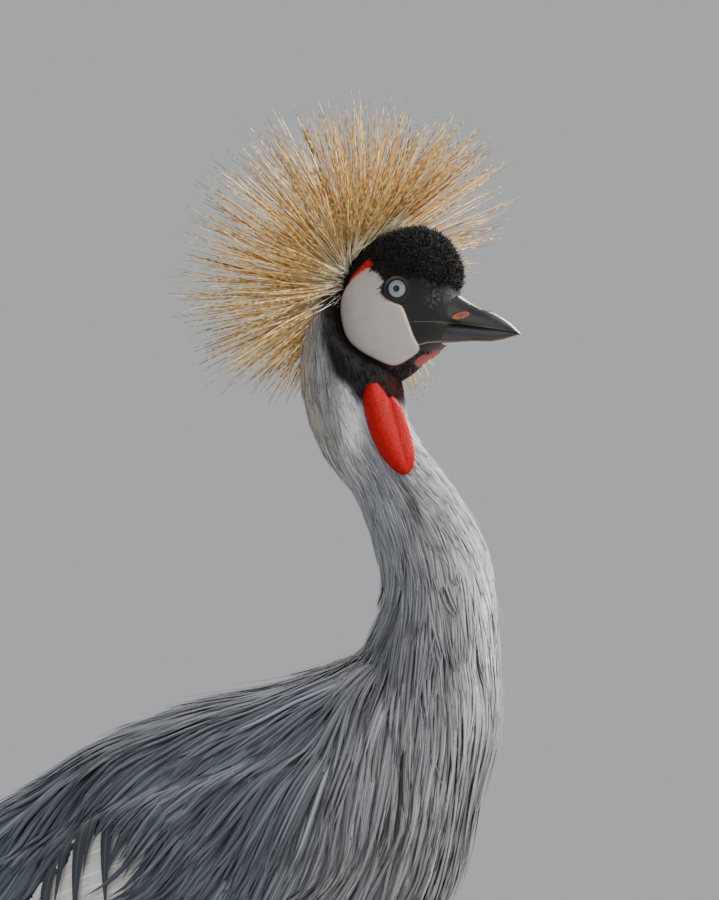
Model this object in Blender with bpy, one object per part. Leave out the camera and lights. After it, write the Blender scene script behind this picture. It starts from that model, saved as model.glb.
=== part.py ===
"""Grey crowned crane, standing, life size, with its head turned a little to its right.

The bird faces +X, its left side is +Y, and the floor is Z = 0. Every solid is worked
out in one design frame whose origin lies on the floor under the eyes' middle plane,
and the last step moves the whole bird so that the origin is under its middle.
"""

import math
import random

import bmesh
import bpy
from mathutils import Matrix, Vector
from mathutils.bvhtree import BVHTree

# Driving dimensions, in millimetres unless a name says otherwise.

MM = 0.001
GAP = 0.3
SEED = 11

EYE_HEIGHT = 960.0
EYE_FORWARD = 32.4
HEAD_TURN_DEG = -15.0

EYE_RADIUS = 10.5
EYE_ACROSS = 15.4
LID_RADIUS = 8.3
LID_THICKNESS = 1.5
LID_ACROSS = 22.9
LID_STEPS = 14
EYE_FORWARD_TILT_DEG = 10.0

CREST_RADIUS = 131.0
CREST_CENTRE = (-40.0, 0.0, 8.0)
CREST_AXIS = (-0.8, 0.0, 0.6)
CREST_LEAN_DEG = 101.0
CREST_SIDE_LEAN_DEG = 113.0
CREST_COUNT = 244
CREST_SPINE = 0.95
PAD_CENTRE = (-45.0, 0.0, 15.0)
PAD_ALONG = (-0.67, 0.0, -0.74)
PAD_HALF = (30.0, 17.0, 9.5)
SPINE_CLEAR = 1.6

HIP_FORWARD = -116.0
LEG_SPACING = 46.0
THIGH_TOP = 505.0
THIGH_END = 398.0
HOCK_FORWARD = -146.0
HOCK_HEIGHT = 250.0
ANKLE_FORWARD = -106.0
ANKLE_HEIGHT = 18.0

# Horizontal slices of the head: height, back end, front end and half width,
# from the middle between the eyes.
HEAD_WIDEST = -14.0
HEAD_SIDES = 16
HEAD_SLICES = (
    (38.0, -22.0, 14.0, 8.0),
    (34.0, -32.0, 25.0, 14.0),
    (27.0, -40.0, 33.0, 18.5),
    (18.0, -47.0, 38.0, 21.5),
    (8.0, -53.0, 40.0, 23.5),
    (-2.0, -57.0, 41.0, 24.8),
    (-12.0, -59.0, 43.0, 25.5),
    (-22.0, -60.0, 43.0, 26.0),
    (-32.0, -59.0, 39.0, 26.0),
    (-40.0, -56.0, 31.0, 25.0),
    (-47.0, -51.0, 22.0, 23.0),
    (-54.0, -45.0, 11.0, 20.0),
    (-61.0, -37.0, 2.0, 15.0),
    (-66.0, -29.0, -6.0, 8.0),
)

# Upright slices of the cap: distance forward, low edge, top and half width.
CAP_SLICES = (
    (-34.0, 25.0, 30.0, 7.0),
    (-29.0, 20.0, 34.0, 14.0),
    (-20.0, 15.5, 37.5, 20.5),
    (-9.0, 10.0, 42.3, 24.5),
    (5.0, 7.0, 44.9, 26.2),
    (18.0, 2.8, 42.6, 25.2),
    (29.0, -2.0, 36.6, 21.5),
    (37.0, -3.5, 28.0, 15.5),
    (42.0, -3.0, 18.5, 9.0),
    (44.0, 2.0, 12.0, 3.5),
)

# Upright slices of the upper mandible: forward, low edge, culmen and half width.
UPPER_SLICES = (
    (24.0, -24.8, 3.0, 14.5),
    (37.0, -25.6, -2.8, 11.6),
    (48.0, -26.9, -9.4, 9.8),
    (58.6, -28.2, -14.6, 8.4),
    (67.0, -29.4, -17.6, 7.1),
    (75.0, -30.7, -21.8, 5.6),
    (81.0, -31.8, -26.0, 4.1),
    (86.0, -32.9, -30.5, 2.3),
    (88.9, -33.7, -33.2, 0.8),
)

# The lower mandible: forward, lower edge, upper edge and half width.
LOWER_SLICES = (
    (18.0, -43.5, -24.0, 13.5),
    (29.0, -40.8, -24.6, 12.0),
    (41.0, -40.0, -25.4, 9.2),
    (53.0, -39.2, -26.9, 7.2),
    (67.0, -39.4, -28.8, 5.2),
    (76.0, -38.0, -30.3, 3.9),
    (83.0, -36.0, -31.8, 2.4),
    (87.4, -34.6, -33.2, 1.0),
)

NOSTRIL = (48.5, 9.2, -19.7)
NOSTRIL_SIZE = (7.2, 2.4, 3.0)
NOSTRIL_SLOPE_DEG = -6.0

# The white cheek's outline, forward and up, round the side of the face.
CHEEK_OUTLINE = (
    (-20.5, 15.2),
    (-9.9, 7.4),
    (-11.0, 0.0),
    (-8.0, -6.6),
    (-0.8, -10.4),
    (5.6, -13.4),
    (10.2, -24.1),
    (13.4, -34.0),
    (15.6, -43.8),
    (6.4, -51.0),
    (-3.5, -55.3),
    (-12.9, -52.6),
    (-31.0, -43.4),
    (-41.6, -32.8),
    (-47.0, -14.0),
    (-44.8, -2.2),
    (-37.6, 6.2),
    (-29.0, 12.2),
)
RED_OUTLINE = (
    (-21.6, 22.8),
    (-18.8, 16.8),
    (-21.4, 11.0),
    (-28.6, 7.6),
    (-34.6, 2.4),
    (-38.8, 8.0),
    (-29.6, 17.4),
)
CHEEK_DEPTH = 11.0
RED_DEPTH = 12.6
PATCH_REACH = 60.0
PATCH_PROUD = 0.9

# The neck, from the nape down: forward, height, half depth and half width.
NECK_STATIONS = (
    (-22.0, 960.0, 12.0, 13.0),
    (-21.0, 946.0, 25.0, 22.0),
    (-15.0, 918.0, 33.0, 28.0),
    (-9.0, 887.0, 37.0, 31.0),
    (0.0, 855.0, 33.5, 30.0),
    (11.0, 837.0, 31.0, 29.5),
    (22.0, 822.0, 31.0, 30.0),
    (38.5, 792.0, 37.0, 33.0),
    (51.0, 763.0, 41.0, 37.0),
    (55.0, 741.0, 42.6, 41.0),
    (54.0, 719.0, 46.0, 46.0),
    (50.0, 695.0, 51.0, 54.0),
    (43.0, 662.0, 51.0, 60.0),
    (36.0, 634.0, 40.0, 52.0),
)

# Upright slices of the torso: forward, underside, back and half width.
TORSO_SLICES = (
    (101.0, 652.0, 690.0, 16.0),
    (97.0, 622.0, 699.0, 36.0),
    (89.0, 598.0, 703.0, 50.0),
    (78.0, 566.0, 705.0, 62.0),
    (66.0, 522.0, 705.0, 71.0),
    (46.0, 486.0, 705.0, 80.0),
    (18.0, 464.0, 704.0, 87.0),
    (-20.0, 450.0, 691.0, 92.0),
    (-66.0, 444.0, 673.0, 95.0),
    (-110.0, 446.0, 662.0, 95.0),
    (-151.0, 451.0, 650.0, 92.0),
    (-194.0, 458.0, 632.0, 84.0),
    (-236.0, 465.0, 605.0, 73.0),
    (-280.0, 471.0, 578.0, 58.0),
    (-320.0, 476.0, 552.0, 41.0),
    (-352.0, 481.0, 530.0, 26.0),
    (-372.0, 488.0, 513.0, 12.0),
)
TORSO_WIDEST = 0.46
TORSO_SQUARENESS = 2.15

# The folded wing, front to tip: forward, middle height, half height,
# half thickness and distance from the middle plane. The fleshy wing ends at
# WING_BASE rows; only feathers follow the rows after it.
WING_STATIONS = (
    (46.0, 592.0, 12.0, 6.0, 72.0),
    (24.0, 588.0, 36.0, 12.0, 79.0),
    (-40.0, 570.0, 52.0, 17.0, 90.0),
    (-110.0, 548.0, 57.0, 19.0, 92.0),
    (-180.0, 528.0, 53.0, 18.0, 86.0),
    (-250.0, 505.0, 43.0, 14.0, 75.0),
    (-310.0, 484.0, 31.0, 8.0, 62.0),
    (-345.0, 472.0, 24.0, 3.0, 55.0),
    (-400.0, 455.0, 22.0, 2.0, 50.0),
    (-470.0, 433.0, 18.0, 2.0, 45.0),
)
WING_BASE = 8
WING_LEAN_DEG = 12.0

# Rows of wing feathers: place along the wing, how many, lowest and highest place
# up the wing, reach in rows of the wing, half width, and rise for each row passed.
WING_ROWS = (
    (1.1, 3, -0.55, 0.22, 1.4, 7.0, 2.8),
    (1.75, 4, -0.72, 0.42, 1.45, 9.0, 2.8),
    (2.5, 4, -0.62, 0.50, 1.45, 9.8, 2.8),
    (3.25, 4, -0.72, 0.45, 1.45, 10.2, 2.8),
    (4.0, 4, -0.62, 0.52, 2.2, 5.6, 2.6),
    (4.75, 4, -0.70, 0.45, 2.7, 5.2, 2.4),
    (5.5, 3, -0.50, 0.50, 3.2, 6.0, 0.6),
)

# The tail, root to end of its fleshy base: forward, middle height,
# half thickness and half width.
TAIL_STATIONS = (
    (-338.0, 506.0, 13.0, 22.0),
    (-370.0, 492.0, 11.0, 27.0),
    (-405.0, 477.0, 6.0, 26.0),
    (-424.0, 469.0, 2.5, 18.0),
)
TAIL_FEATHERS = 8
TAIL_LENGTH = 142.0
TAIL_HALF_WIDTH = 12.5
TAIL_SPREAD_DEG = 9.0
TAIL_DROOP_DEG = 25.0
TAIL_STEP = 1.7
TAIL_ROOT = (-384.0, 488.0)
TAIL_ROOT_HALF_WIDTH = 15.0

# Tiers of hanging neck feathers: place down the neck, how many round it,
# reach in stations and half width.
NECK_TIERS = (
    (3.2, 5, 1.7, 7.0),
    (5.0, 6, 1.9, 8.0),
    (6.8, 6, 1.7, 9.0),
    (8.3, 8, 1.9, 9.5),
    (9.7, 9, 2.1, 10.5),
)

# Tiers of lance-shaped back feathers: place along the torso, spread round it
# in degrees, how many, reach in slices and half width.
BACK_TIERS = (
    (7.0, 60.0, 6, 2.2, 11.0),
    (8.4, 56.0, 5, 2.2, 11.5),
    (9.8, 58.0, 6, 2.1, 11.0),
    (11.1, 50.0, 5, 2.1, 10.5),
    (12.4, 48.0, 4, 2.0, 9.0),
)
TIER_RISE = 1.7
BLADE_HALF_THICKNESS = 0.5
ROOT_SINK = 3.5
FEATHER_CLEAR = 5.0
LOBE_CLEAR = 1.5

# One lobe of the wattle: forward and up seen from the bird's right,
# then half width and half thickness.
WATTLE_SIDE = -26.0
WATTLE_NEAR = (
    (372.0, 386.0, 5.0, 5.0),
    (374.0, 396.0, 8.6, 6.5),
    (378.5, 414.0, 10.0, 7.5),
    (385.0, 433.0, 10.6, 8.0),
    (393.5, 452.0, 9.6, 7.5),
    (401.0, 466.0, 6.6, 5.5),
    (405.0, 473.0, 2.6, 2.6),
)
WATTLE_FAR = (
    (388.0, 398.0, 3.2, 4.0),
    (392.5, 408.0, 6.0, 6.0),
    (397.5, 424.0, 7.6, 7.0),
    (402.5, 440.0, 7.4, 7.0),
    (407.0, 455.0, 6.0, 6.0),
    (410.0, 467.0, 3.0, 3.0),
)
WATTLE_FAR_SIDE = -18.0

# Toes of one foot: turn from straight ahead, length and thickness at the root.
TOES = (
    ("middle", 2.0, 88.0, 8.0),
    ("inner", 27.0, 68.0, 7.4),
    ("outer", -32.0, 76.0, 7.4),
    ("back", 168.0, 44.0, 6.6),
)
CLAW_LENGTH = 15.0
HUB_HEIGHT = 17.0

# Sections of a claw: how far along it, half width, low edge and top.
CLAW_SECTIONS = (
    (-0.35, 3.2, 1.6, 7.4),
    (0.1, 3.3, 1.4, 7.6),
    (0.45, 2.6, 1.0, 6.4),
    (0.8, 1.5, 0.6, 3.8),
    (1.0, 0.4, 0.4, 1.4),
)

COLOURS = {
    "face": (0.035, 0.037, 0.042, 0.85),
    "velvet": (0.008, 0.008, 0.009, 0.95),
    "cheek": (0.52, 0.50, 0.48, 0.55),
    "red": (0.62, 0.03, 0.025, 0.5),
    "iris": (0.33, 0.45, 0.55, 0.12),
    "bill": (0.045, 0.047, 0.05, 0.4),
    "gold": (0.72, 0.50, 0.20, 0.6),
    "neck": (0.42, 0.43, 0.44, 0.85),
    "slate": (0.20, 0.23, 0.27, 0.8),
    "white": (0.80, 0.80, 0.78, 0.8),
    "black": (0.012, 0.012, 0.013, 0.7),
    "leg": (0.03, 0.03, 0.032, 0.6),
    "horn": (0.015, 0.015, 0.015, 0.35),
}


def clear_scene():
    """Start from an empty scene."""
    for item in list(bpy.data.objects):
        bpy.data.objects.remove(item, do_unlink=True)


def material(name):
    """The part's plain paint, one Principled BSDF for each colour."""
    found = bpy.data.materials.get(name)
    if found:
        return found
    red, green, blue, roughness = COLOURS[name]
    made = bpy.data.materials.new(name)
    made.use_nodes = True
    shader = made.node_tree.nodes["Principled BSDF"]
    shader.inputs["Base Color"].default_value = (red, green, blue, 1.0)
    shader.inputs["Roughness"].default_value = roughness
    shader.inputs["Metallic"].default_value = 0.0
    return made


def head_matrix():
    """From the head's own frame to the design frame, both in metres."""
    place = Vector((EYE_FORWARD, 0.0, EYE_HEIGHT)) * MM
    turn = Matrix.Rotation(math.radians(HEAD_TURN_DEG), 4, "Z")
    return Matrix.Translation(place) @ turn


def head_point(forward, left, up):
    """A point of the head's own frame, given in millimetres."""
    return head_matrix() @ (Vector((forward, left, up)) * MM)


def to_object(name, bm, paint):
    """Make a named object from a bmesh, in triangles with faces turned out."""
    bmesh.ops.triangulate(bm, faces=bm.faces[:])
    bmesh.ops.recalc_face_normals(bm, faces=bm.faces[:])
    mesh = bpy.data.meshes.new(name)
    bm.to_mesh(mesh)
    bm.free()
    mesh.materials.append(material(paint))
    made = bpy.data.objects.new(name, mesh)
    bpy.context.scene.collection.objects.link(made)
    return made


def add_loft(bm, rings):
    """A closed skin over rings of equal count, each end closed by a fan."""
    loops = [[bm.verts.new(point) for point in ring] for ring in rings]
    count = len(rings[0])
    for near, far in zip(loops, loops[1:]):
        for k in range(count):
            j = (k + 1) % count
            bm.faces.new((near[k], near[j], far[j], far[k]))
    for loop, flip in ((loops[0], True), (loops[-1], False)):
        middle = sum((vert.co for vert in loop), Vector()) / count
        hub = bm.verts.new(middle)
        for k in range(count):
            j = (k + 1) % count
            corner = (loop[j], loop[k], hub) if flip else (loop[k], loop[j], hub)
            bm.faces.new(corner)


def loft(name, rings, paint):
    """A loft as an object of its own."""
    bm = bmesh.new()
    add_loft(bm, rings)
    return to_object(name, bm, paint)


def signed_power(value, power):
    """A power that keeps the sign, for the superellipse."""
    return math.copysign(abs(value) ** power, value)


def oval(centre, across, up, half, count, squareness=2.0):
    """A ring of points; half is (across, above, below)."""
    ring = []
    for k in range(count):
        angle = 2.0 * math.pi * k / count
        side = signed_power(math.cos(angle), 2.0 / squareness)
        rise = signed_power(math.sin(angle), 2.0 / squareness)
        reach = half[1] if rise > 0 else half[2]
        ring.append(centre + across * side * half[0] + up * rise * reach)
    return ring


def inflated(source, amount):
    """A copy of a solid, swollen along its normals by a few tenths."""
    bm = bmesh.new()
    bm.from_mesh(source.data)
    bm.normal_update()
    for vert in bm.verts:
        vert.co += vert.normal * amount * MM
    mesh = bpy.data.meshes.new(source.name + "_room")
    bm.to_mesh(mesh)
    bm.free()
    made = bpy.data.objects.new(source.name + "_room", mesh)
    bpy.context.scene.collection.objects.link(made)
    return made


def apply_modifiers(target):
    """Put a modifier's result into the mesh."""
    depsgraph = bpy.context.evaluated_depsgraph_get()
    depsgraph.update()
    mesh = bpy.data.meshes.new_from_object(target.evaluated_get(depsgraph))
    target.modifiers.clear()
    old = target.data
    target.data = mesh
    bpy.data.meshes.remove(old)


def boolean(target, other, operation, solver="EXACT"):
    """One Boolean with one other object, applied."""
    step = target.modifiers.new(operation.lower(), "BOOLEAN")
    step.operation = operation
    step.solver = solver
    step.object = other
    apply_modifiers(target)


def drop(item):
    """Remove a helper and its mesh."""
    mesh = item.data
    bpy.data.objects.remove(item, do_unlink=True)
    bpy.data.meshes.remove(mesh)


def make_room(target, *neighbours):
    """Cut a solid back so that it keeps the gap to the forms it touches."""
    for neighbour in neighbours:
        room = inflated(neighbour, GAP)
        boolean(target, room, "DIFFERENCE")
        drop(room)
    keep_largest(target)


def carve(target, *rooms):
    """Cut a solid by forms that hold their gap already, and drop them."""
    for room in rooms:
        boolean(target, room, "DIFFERENCE")
        drop(room)
    keep_largest(target)


def islands(bm):
    """The closed surfaces of a mesh, as sets of faces."""
    left = set(bm.faces)
    found = []
    while left:
        start = left.pop()
        group = {start}
        queue = [start]
        while queue:
            face = queue.pop()
            for edge in face.edges:
                for near in edge.link_faces:
                    if near in left:
                        left.discard(near)
                        group.add(near)
                        queue.append(near)
        found.append(group)
    return found


def keep_largest(target):
    """Keep the largest closed surface only."""
    bm = bmesh.new()
    bm.from_mesh(target.data)
    groups = islands(bm)
    if len(groups) > 1:
        best = max(groups, key=lambda group: sum(face.calc_area() for face in group))
        loose = [face for group in groups if group is not best for face in group]
        bmesh.ops.delete(bm, geom=loose, context="FACES")
        lone = [vert for vert in bm.verts if not vert.link_faces]
        bmesh.ops.delete(bm, geom=lone, context="VERTS")
        bm.to_mesh(target.data)
    bm.free()


def ball(name, centre, radius, paint, segments=14, rings=8, tilt=None):
    """A sphere about a point, its pole along tilt."""
    bm = bmesh.new()
    bmesh.ops.create_uvsphere(bm, u_segments=segments, v_segments=rings, radius=radius * MM)
    if tilt is not None:
        turn = Vector((0.0, 0.0, 1.0)).rotation_difference(tilt).to_matrix().to_4x4()
        bmesh.ops.transform(bm, matrix=turn, verts=bm.verts[:])
    bmesh.ops.translate(bm, vec=centre, verts=bm.verts[:])
    return to_object(name, bm, paint)


def head_blank(name):
    """The head before its sockets and patches are cut."""
    rings = []
    for height, back, front, half_width in HEAD_SLICES:
        ring = []
        for k in range(HEAD_SIDES):
            angle = 2.0 * math.pi * k / HEAD_SIDES
            turn = math.cos(angle)
            reach = front - HEAD_WIDEST if turn > 0 else HEAD_WIDEST - back
            forward = HEAD_WIDEST + reach * turn
            ring.append(head_point(forward, half_width * math.sin(angle), height))
        rings.append(ring)
    return loft(name, rings, "face")


def upright_slices(name, slices, paint, count, squareness=2.0, widest=0.5):
    """A loft in the head's frame from upright slices."""
    across = head_matrix().to_3x3() @ Vector((0.0, 1.0, 0.0))
    up = Vector((0.0, 0.0, 1.0))
    rings = []
    for forward, low, high, half_width in slices:
        middle = low + (high - low) * widest
        half = (half_width * MM, (high - middle) * MM, (middle - low) * MM)
        rings.append(oval(head_point(forward, 0.0, middle), across, up, half, count, squareness))
    return loft(name, rings, paint)


def widened(outline, grow):
    """A closed outline, moved outwards square to its own line."""
    count = len(outline)
    pairs = [(outline[k], outline[(k + 1) % count]) for k in range(count)]
    area = sum(a[0] * b[1] - b[0] * a[1] for a, b in pairs)
    wider = []
    for k in range(count):
        before = Vector(outline[k - 1])
        after = Vector(outline[(k + 1) % count])
        run = (after - before).normalized()
        out = Vector((run.y, -run.x)) * math.copysign(grow, area)
        wider.append(Vector(outline[k]) + out)
    return wider


def patch_prism(name, outline, side, inner, outer, grow=0.0):
    """A block through the side of the face with the patch's outline."""
    rings = []
    for depth in (inner, outer):
        ring = [head_point(spot.x, side * depth, spot.y) for spot in widened(outline, grow)]
        rings.append(ring)
    return loft(name, rings, "cheek")


def patch_shapes():
    """Outline and inner depth of the cheek and of the red patch above it."""
    return ((CHEEK_OUTLINE, CHEEK_DEPTH), (RED_OUTLINE, RED_DEPTH))


def patch(name, shape, side, paint, grow=0.0):
    """Bare skin standing a little proud of the face, or the room it takes."""
    outline, depth = shape
    blank = head_blank("blank")
    made = inflated(blank, PATCH_PROUD + grow)
    drop(blank)
    made.name = name
    made.data.name = name
    block = patch_prism("block", outline, side, depth - grow, PATCH_REACH, grow)
    boolean(made, block, "INTERSECT")
    drop(block)
    made.data.materials.clear()
    made.data.materials.append(material(paint))
    return made


def face_rooms():
    """The room that the four bare patches take."""
    rooms = []
    for side in (-1, 1):
        for shape in patch_shapes():
            rooms.append(patch("room", shape, side, "red", GAP))
    return rooms


def eye_axis(side):
    """The way an eye looks, in the design frame."""
    tilt = math.radians(EYE_FORWARD_TILT_DEG)
    local = Vector((math.sin(tilt), side * math.cos(tilt), 0.0))
    return head_matrix().to_3x3() @ local


def lid_ring(side):
    """The raised rim of the lids round one eye."""
    bm = bmesh.new()
    axis = eye_axis(side)
    right = axis.orthogonal().normalized()
    up = axis.cross(right)
    centre = head_point(0.6, side * LID_ACROSS, 0.0)
    loops = []
    for k in range(LID_STEPS):
        angle = 2.0 * math.pi * k / LID_STEPS
        out = right * math.cos(angle) + up * math.sin(angle)
        loop = []
        for j in range(4):
            turn = 2.0 * math.pi * (j + 0.5) / 4
            reach = LID_RADIUS + LID_THICKNESS * math.cos(turn)
            rise = LID_THICKNESS * math.sin(turn)
            loop.append(bm.verts.new(centre + (out * reach + axis * rise) * MM))
        loops.append(loop)
    for k in range(LID_STEPS):
        near, far = loops[k], loops[(k + 1) % LID_STEPS]
        for j in range(4):
            i = (j + 1) % 4
            bm.faces.new((near[j], near[i], far[i], far[j]))
    return to_object("lid_ring", bm, "face")


def cap_form(name):
    """The velvet cap as a whole cushion."""
    return upright_slices(name, CAP_SLICES, "velvet", 14)


def upper_form(name):
    """The upper mandible, rooted inside the head."""
    return upright_slices(name, UPPER_SLICES, "bill", 12, 2.3, 0.3)


def lower_form(name):
    """The lower mandible, rooted inside the head."""
    return upright_slices(name, LOWER_SLICES, "bill", 12, 2.3, 0.7)


def build_face(parts, blanks):
    """Lids, eyes, cheeks and red patches, each let into the head."""
    head = head_blank("head")
    for side, word in ((-1, "right"), (1, "left")):
        ring = lid_ring(side)
        boolean(head, ring, "UNION", "MANIFOLD")
        drop(ring)
        centre = head_point(0.0, side * EYE_ACROSS, 0.0)
        eye = ball("eye_" + word, centre, EYE_RADIUS, "iris", tilt=eye_axis(side))
        cheek_shape, red_shape = patch_shapes()
        cheek = patch("cheek_" + word, cheek_shape, side, "cheek")
        red = patch("red_patch_" + word, red_shape, side, "red")
        carve(red, patch("room", cheek_shape, side, "cheek", GAP))
        make_room(cheek, eye)
        for outline, depth in patch_shapes():
            room = patch_prism("room", outline, side, depth - GAP, PATCH_REACH, GAP)
            boolean(head, room, "DIFFERENCE", "MANIFOLD")
            drop(room)
        socket = inflated(eye, GAP)
        boolean(head, socket, "DIFFERENCE", "MANIFOLD")
        drop(socket)
        parts["eye_" + word] = eye
        parts["cheek_" + word] = cheek
        parts["red_patch_" + word] = red
    make_room(head, blanks["pad"])
    parts["head"] = head


def build_head(blanks):
    """Face, bill and cap, fitted to each other."""
    parts = {}
    build_face(parts, blanks)
    upper = upper_form("bill_upper")
    cut_nostrils(upper)
    make_room(upper, blanks["head"])
    parts["bill_upper"] = upper
    lower = lower_form("bill_lower")
    make_room(lower, blanks["head"], blanks["bill_upper"])
    parts["bill_lower"] = lower
    cap = cap_form("cap")
    make_room(cap, blanks["head"], blanks["bill_upper"])
    parts["cap"] = cap
    return parts


def cut_nostrils(upper):
    """The two oval nostrils."""
    turn = Matrix.Rotation(math.radians(-NOSTRIL_SLOPE_DEG), 4, "Y")
    for side in (-1, 1):
        bm = bmesh.new()
        bmesh.ops.create_uvsphere(bm, u_segments=10, v_segments=6, radius=MM)
        size = Matrix.Diagonal((NOSTRIL_SIZE[0], NOSTRIL_SIZE[1], NOSTRIL_SIZE[2], 1.0))
        place = Matrix.Translation(Vector((NOSTRIL[0], side * NOSTRIL[1], NOSTRIL[2])) * MM)
        bmesh.ops.transform(bm, matrix=head_matrix() @ place @ turn @ size, verts=bm.verts[:])
        hole = to_object("nostril", bm, "bill")
        boolean(upper, hole, "DIFFERENCE")
        drop(hole)


def neck_rings(count):
    """The neck's sections, square to its run."""
    rings = []
    across = Vector((0.0, 1.0, 0.0))
    for k, (forward, height, deep, wide) in enumerate(NECK_STATIONS):
        before = NECK_STATIONS[max(k - 1, 0)]
        after = NECK_STATIONS[min(k + 1, len(NECK_STATIONS) - 1)]
        run = Vector((after[0] - before[0], 0.0, after[1] - before[1])).normalized()
        front = across.cross(run)
        centre = Vector((forward, 0.0, height)) * MM
        rings.append(oval(centre, front, across, (deep * MM, wide * MM, wide * MM), count))
    return rings


def torso_rings(count):
    """The torso's upright sections."""
    across = Vector((0.0, 1.0, 0.0))
    up = Vector((0.0, 0.0, 1.0))
    rings = []
    for forward, low, high, half_width in TORSO_SLICES:
        middle = low + (high - low) * TORSO_WIDEST
        centre = Vector((forward, 0.0, middle)) * MM
        half = (half_width * MM, (high - middle) * MM, (middle - low) * MM)
        rings.append(oval(centre, across, up, half, count, TORSO_SQUARENESS))
    return rings


def wing_rings(side, count):
    """The folded wing's sections, leaning in at the top."""
    rings = []
    for forward, height, tall, thick, out in WING_STATIONS[:WING_BASE]:
        lean = math.radians(WING_LEAN_DEG) * side
        up = Vector((0.0, -math.sin(lean), math.cos(lean)))
        across = Vector((0.0, math.cos(lean), math.sin(lean)))
        centre = Vector((forward, side * out, height)) * MM
        rings.append(oval(centre, across, up, (thick * MM, tall * MM, tall * MM), count))
    return rings


def tail_rings(count):
    """The closed tail's sections, flat and a little rounded."""
    across = Vector((0.0, 1.0, 0.0))
    rings = []
    for k, (forward, height, thick, wide) in enumerate(TAIL_STATIONS):
        before = TAIL_STATIONS[max(k - 1, 0)]
        after = TAIL_STATIONS[min(k + 1, len(TAIL_STATIONS) - 1)]
        run = Vector((after[0] - before[0], 0.0, after[1] - before[1])).normalized()
        up = run.cross(across)
        centre = Vector((forward, 0.0, height)) * MM
        rings.append(oval(centre, across, up, (wide * MM, thick * MM, thick * MM), count))
    return rings


def picture_point(column, row, aside):
    """A point seen from the bird's right front at a column and row, at a depth aside."""
    forward = ((column - 365.0) * 0.73 - aside * math.sin(math.radians(10.0)))
    forward /= math.cos(math.radians(10.0))
    return Vector((forward, aside, EYE_HEIGHT + (290.0 - row) * 0.73)) * MM


def wattle_lobe(name, rows, aside):
    """One hanging lobe, thick in its middle."""
    rings = []
    points = [picture_point(row[0], row[1], aside) for row in rows]
    out = Vector((0.45, -0.9, 0.0)).normalized()
    for k, row in enumerate(rows):
        run = (points[min(k + 1, len(rows) - 1)] - points[max(k - 1, 0)]).normalized()
        wide = run.cross(out).normalized()
        half = (row[2] * MM, row[3] * MM, row[3] * MM)
        rings.append(oval(points[k], wide, out, half, 12))
    return loft(name, rings, "red")


def build_wattle(blanks):
    """The red throat wattle: two lobes in one solid."""
    wattle = wattle_lobe("wattle", WATTLE_NEAR, WATTLE_SIDE)
    second = wattle_lobe("lobe", WATTLE_FAR, WATTLE_FAR_SIDE)
    boolean(wattle, second, "UNION")
    drop(second)
    make_room(wattle, blanks["head"], blanks["neck"])
    carve(wattle, *face_rooms())
    return wattle


def tube(name, rows, paint, count=8):
    """A limb through rows of (point, radius along X, radius along Y) in mm."""
    rings = []
    for point, deep, wide in rows:
        centre = Vector(point) * MM
        fore = Vector((1.0, 0.0, 0.0))
        left = Vector((0.0, 1.0, 0.0))
        rings.append(oval(centre, fore, left, (deep * MM, wide * MM, wide * MM), count))
    return loft(name, rings, paint)


def thigh_rows(side):
    """The feathered upper leg."""
    out = side * LEG_SPACING
    return (
        ((HIP_FORWARD, out + side * 2, THIGH_TOP), 44.0, 30.0),
        ((HIP_FORWARD - 1, out + side * 2, 470.0), 43.0, 30.0),
        ((HIP_FORWARD - 4, out + side * 1, 440.0), 33.0, 25.0),
        ((HIP_FORWARD - 8, out, 418.0), 21.0, 18.0),
        ((HIP_FORWARD - 11, out, THIGH_END), 11.0, 10.5),
    )


def leg_rows(side):
    """The bare leg: lower tibia, hock and tarsus."""
    out = side * LEG_SPACING
    top = HIP_FORWARD - 11.0
    lean = ANKLE_FORWARD - HOCK_FORWARD
    return (
        ((top, out, THIGH_END + 12.0), 7.6, 7.0),
        ((top - 4.0, out, THIGH_END - 30.0), 7.2, 6.6),
        ((HOCK_FORWARD + 5.0, out, HOCK_HEIGHT + 48.0), 6.8, 6.2),
        ((HOCK_FORWARD + 1.0, out, HOCK_HEIGHT + 22.0), 8.6, 7.8),
        ((HOCK_FORWARD - 1.0, out, HOCK_HEIGHT + 6.0), 11.0, 9.6),
        ((HOCK_FORWARD, out, HOCK_HEIGHT - 10.0), 10.6, 9.4),
        ((HOCK_FORWARD + lean * 0.13, out, HOCK_HEIGHT - 32.0), 7.8, 7.0),
        ((HOCK_FORWARD + lean * 0.3, out, HOCK_HEIGHT - 72.0), 6.4, 5.8),
        ((HOCK_FORWARD + lean * 0.85, out, ANKLE_HEIGHT + 32.0), 6.4, 5.8),
        ((HOCK_FORWARD + lean * 0.96, out, ANKLE_HEIGHT + 10.0), 7.8, 7.2),
        ((ANKLE_FORWARD, out, ANKLE_HEIGHT - 6.0), 8.6, 8.6),
    )


def toe_ring(centre, along, half_width, height):
    """A toe's section: flat on the floor, rounded above."""
    left = Vector((-along.y, along.x, 0.0))
    ring = []
    for side, rise in (
        (-0.75, 0.0),
        (-1.0, 0.4),
        (-0.6, 0.9),
        (0.6, 0.9),
        (1.0, 0.4),
        (0.75, 0.0),
    ):
        spot = centre + left * side * half_width + Vector((0.0, 0.0, rise * height))
        ring.append(spot * MM)
    return ring


def toe_direction(side, turn):
    """The way a toe points on the floor."""
    angle = math.radians(turn) * -side
    return Vector((math.cos(angle), math.sin(angle), 0.0))


def hub_form(name, side):
    """The round joint where the toes meet the leg."""
    bm = bmesh.new()
    bmesh.ops.create_cone(
        bm, cap_ends=True, segments=16, radius1=10.5 * MM, radius2=9.0 * MM, depth=HUB_HEIGHT * MM
    )
    middle = Vector((ANKLE_FORWARD, side * LEG_SPACING, HUB_HEIGHT * 0.5))
    bmesh.ops.translate(bm, vec=middle * MM, verts=bm.verts[:])
    return to_object(name, bm, "leg")


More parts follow.
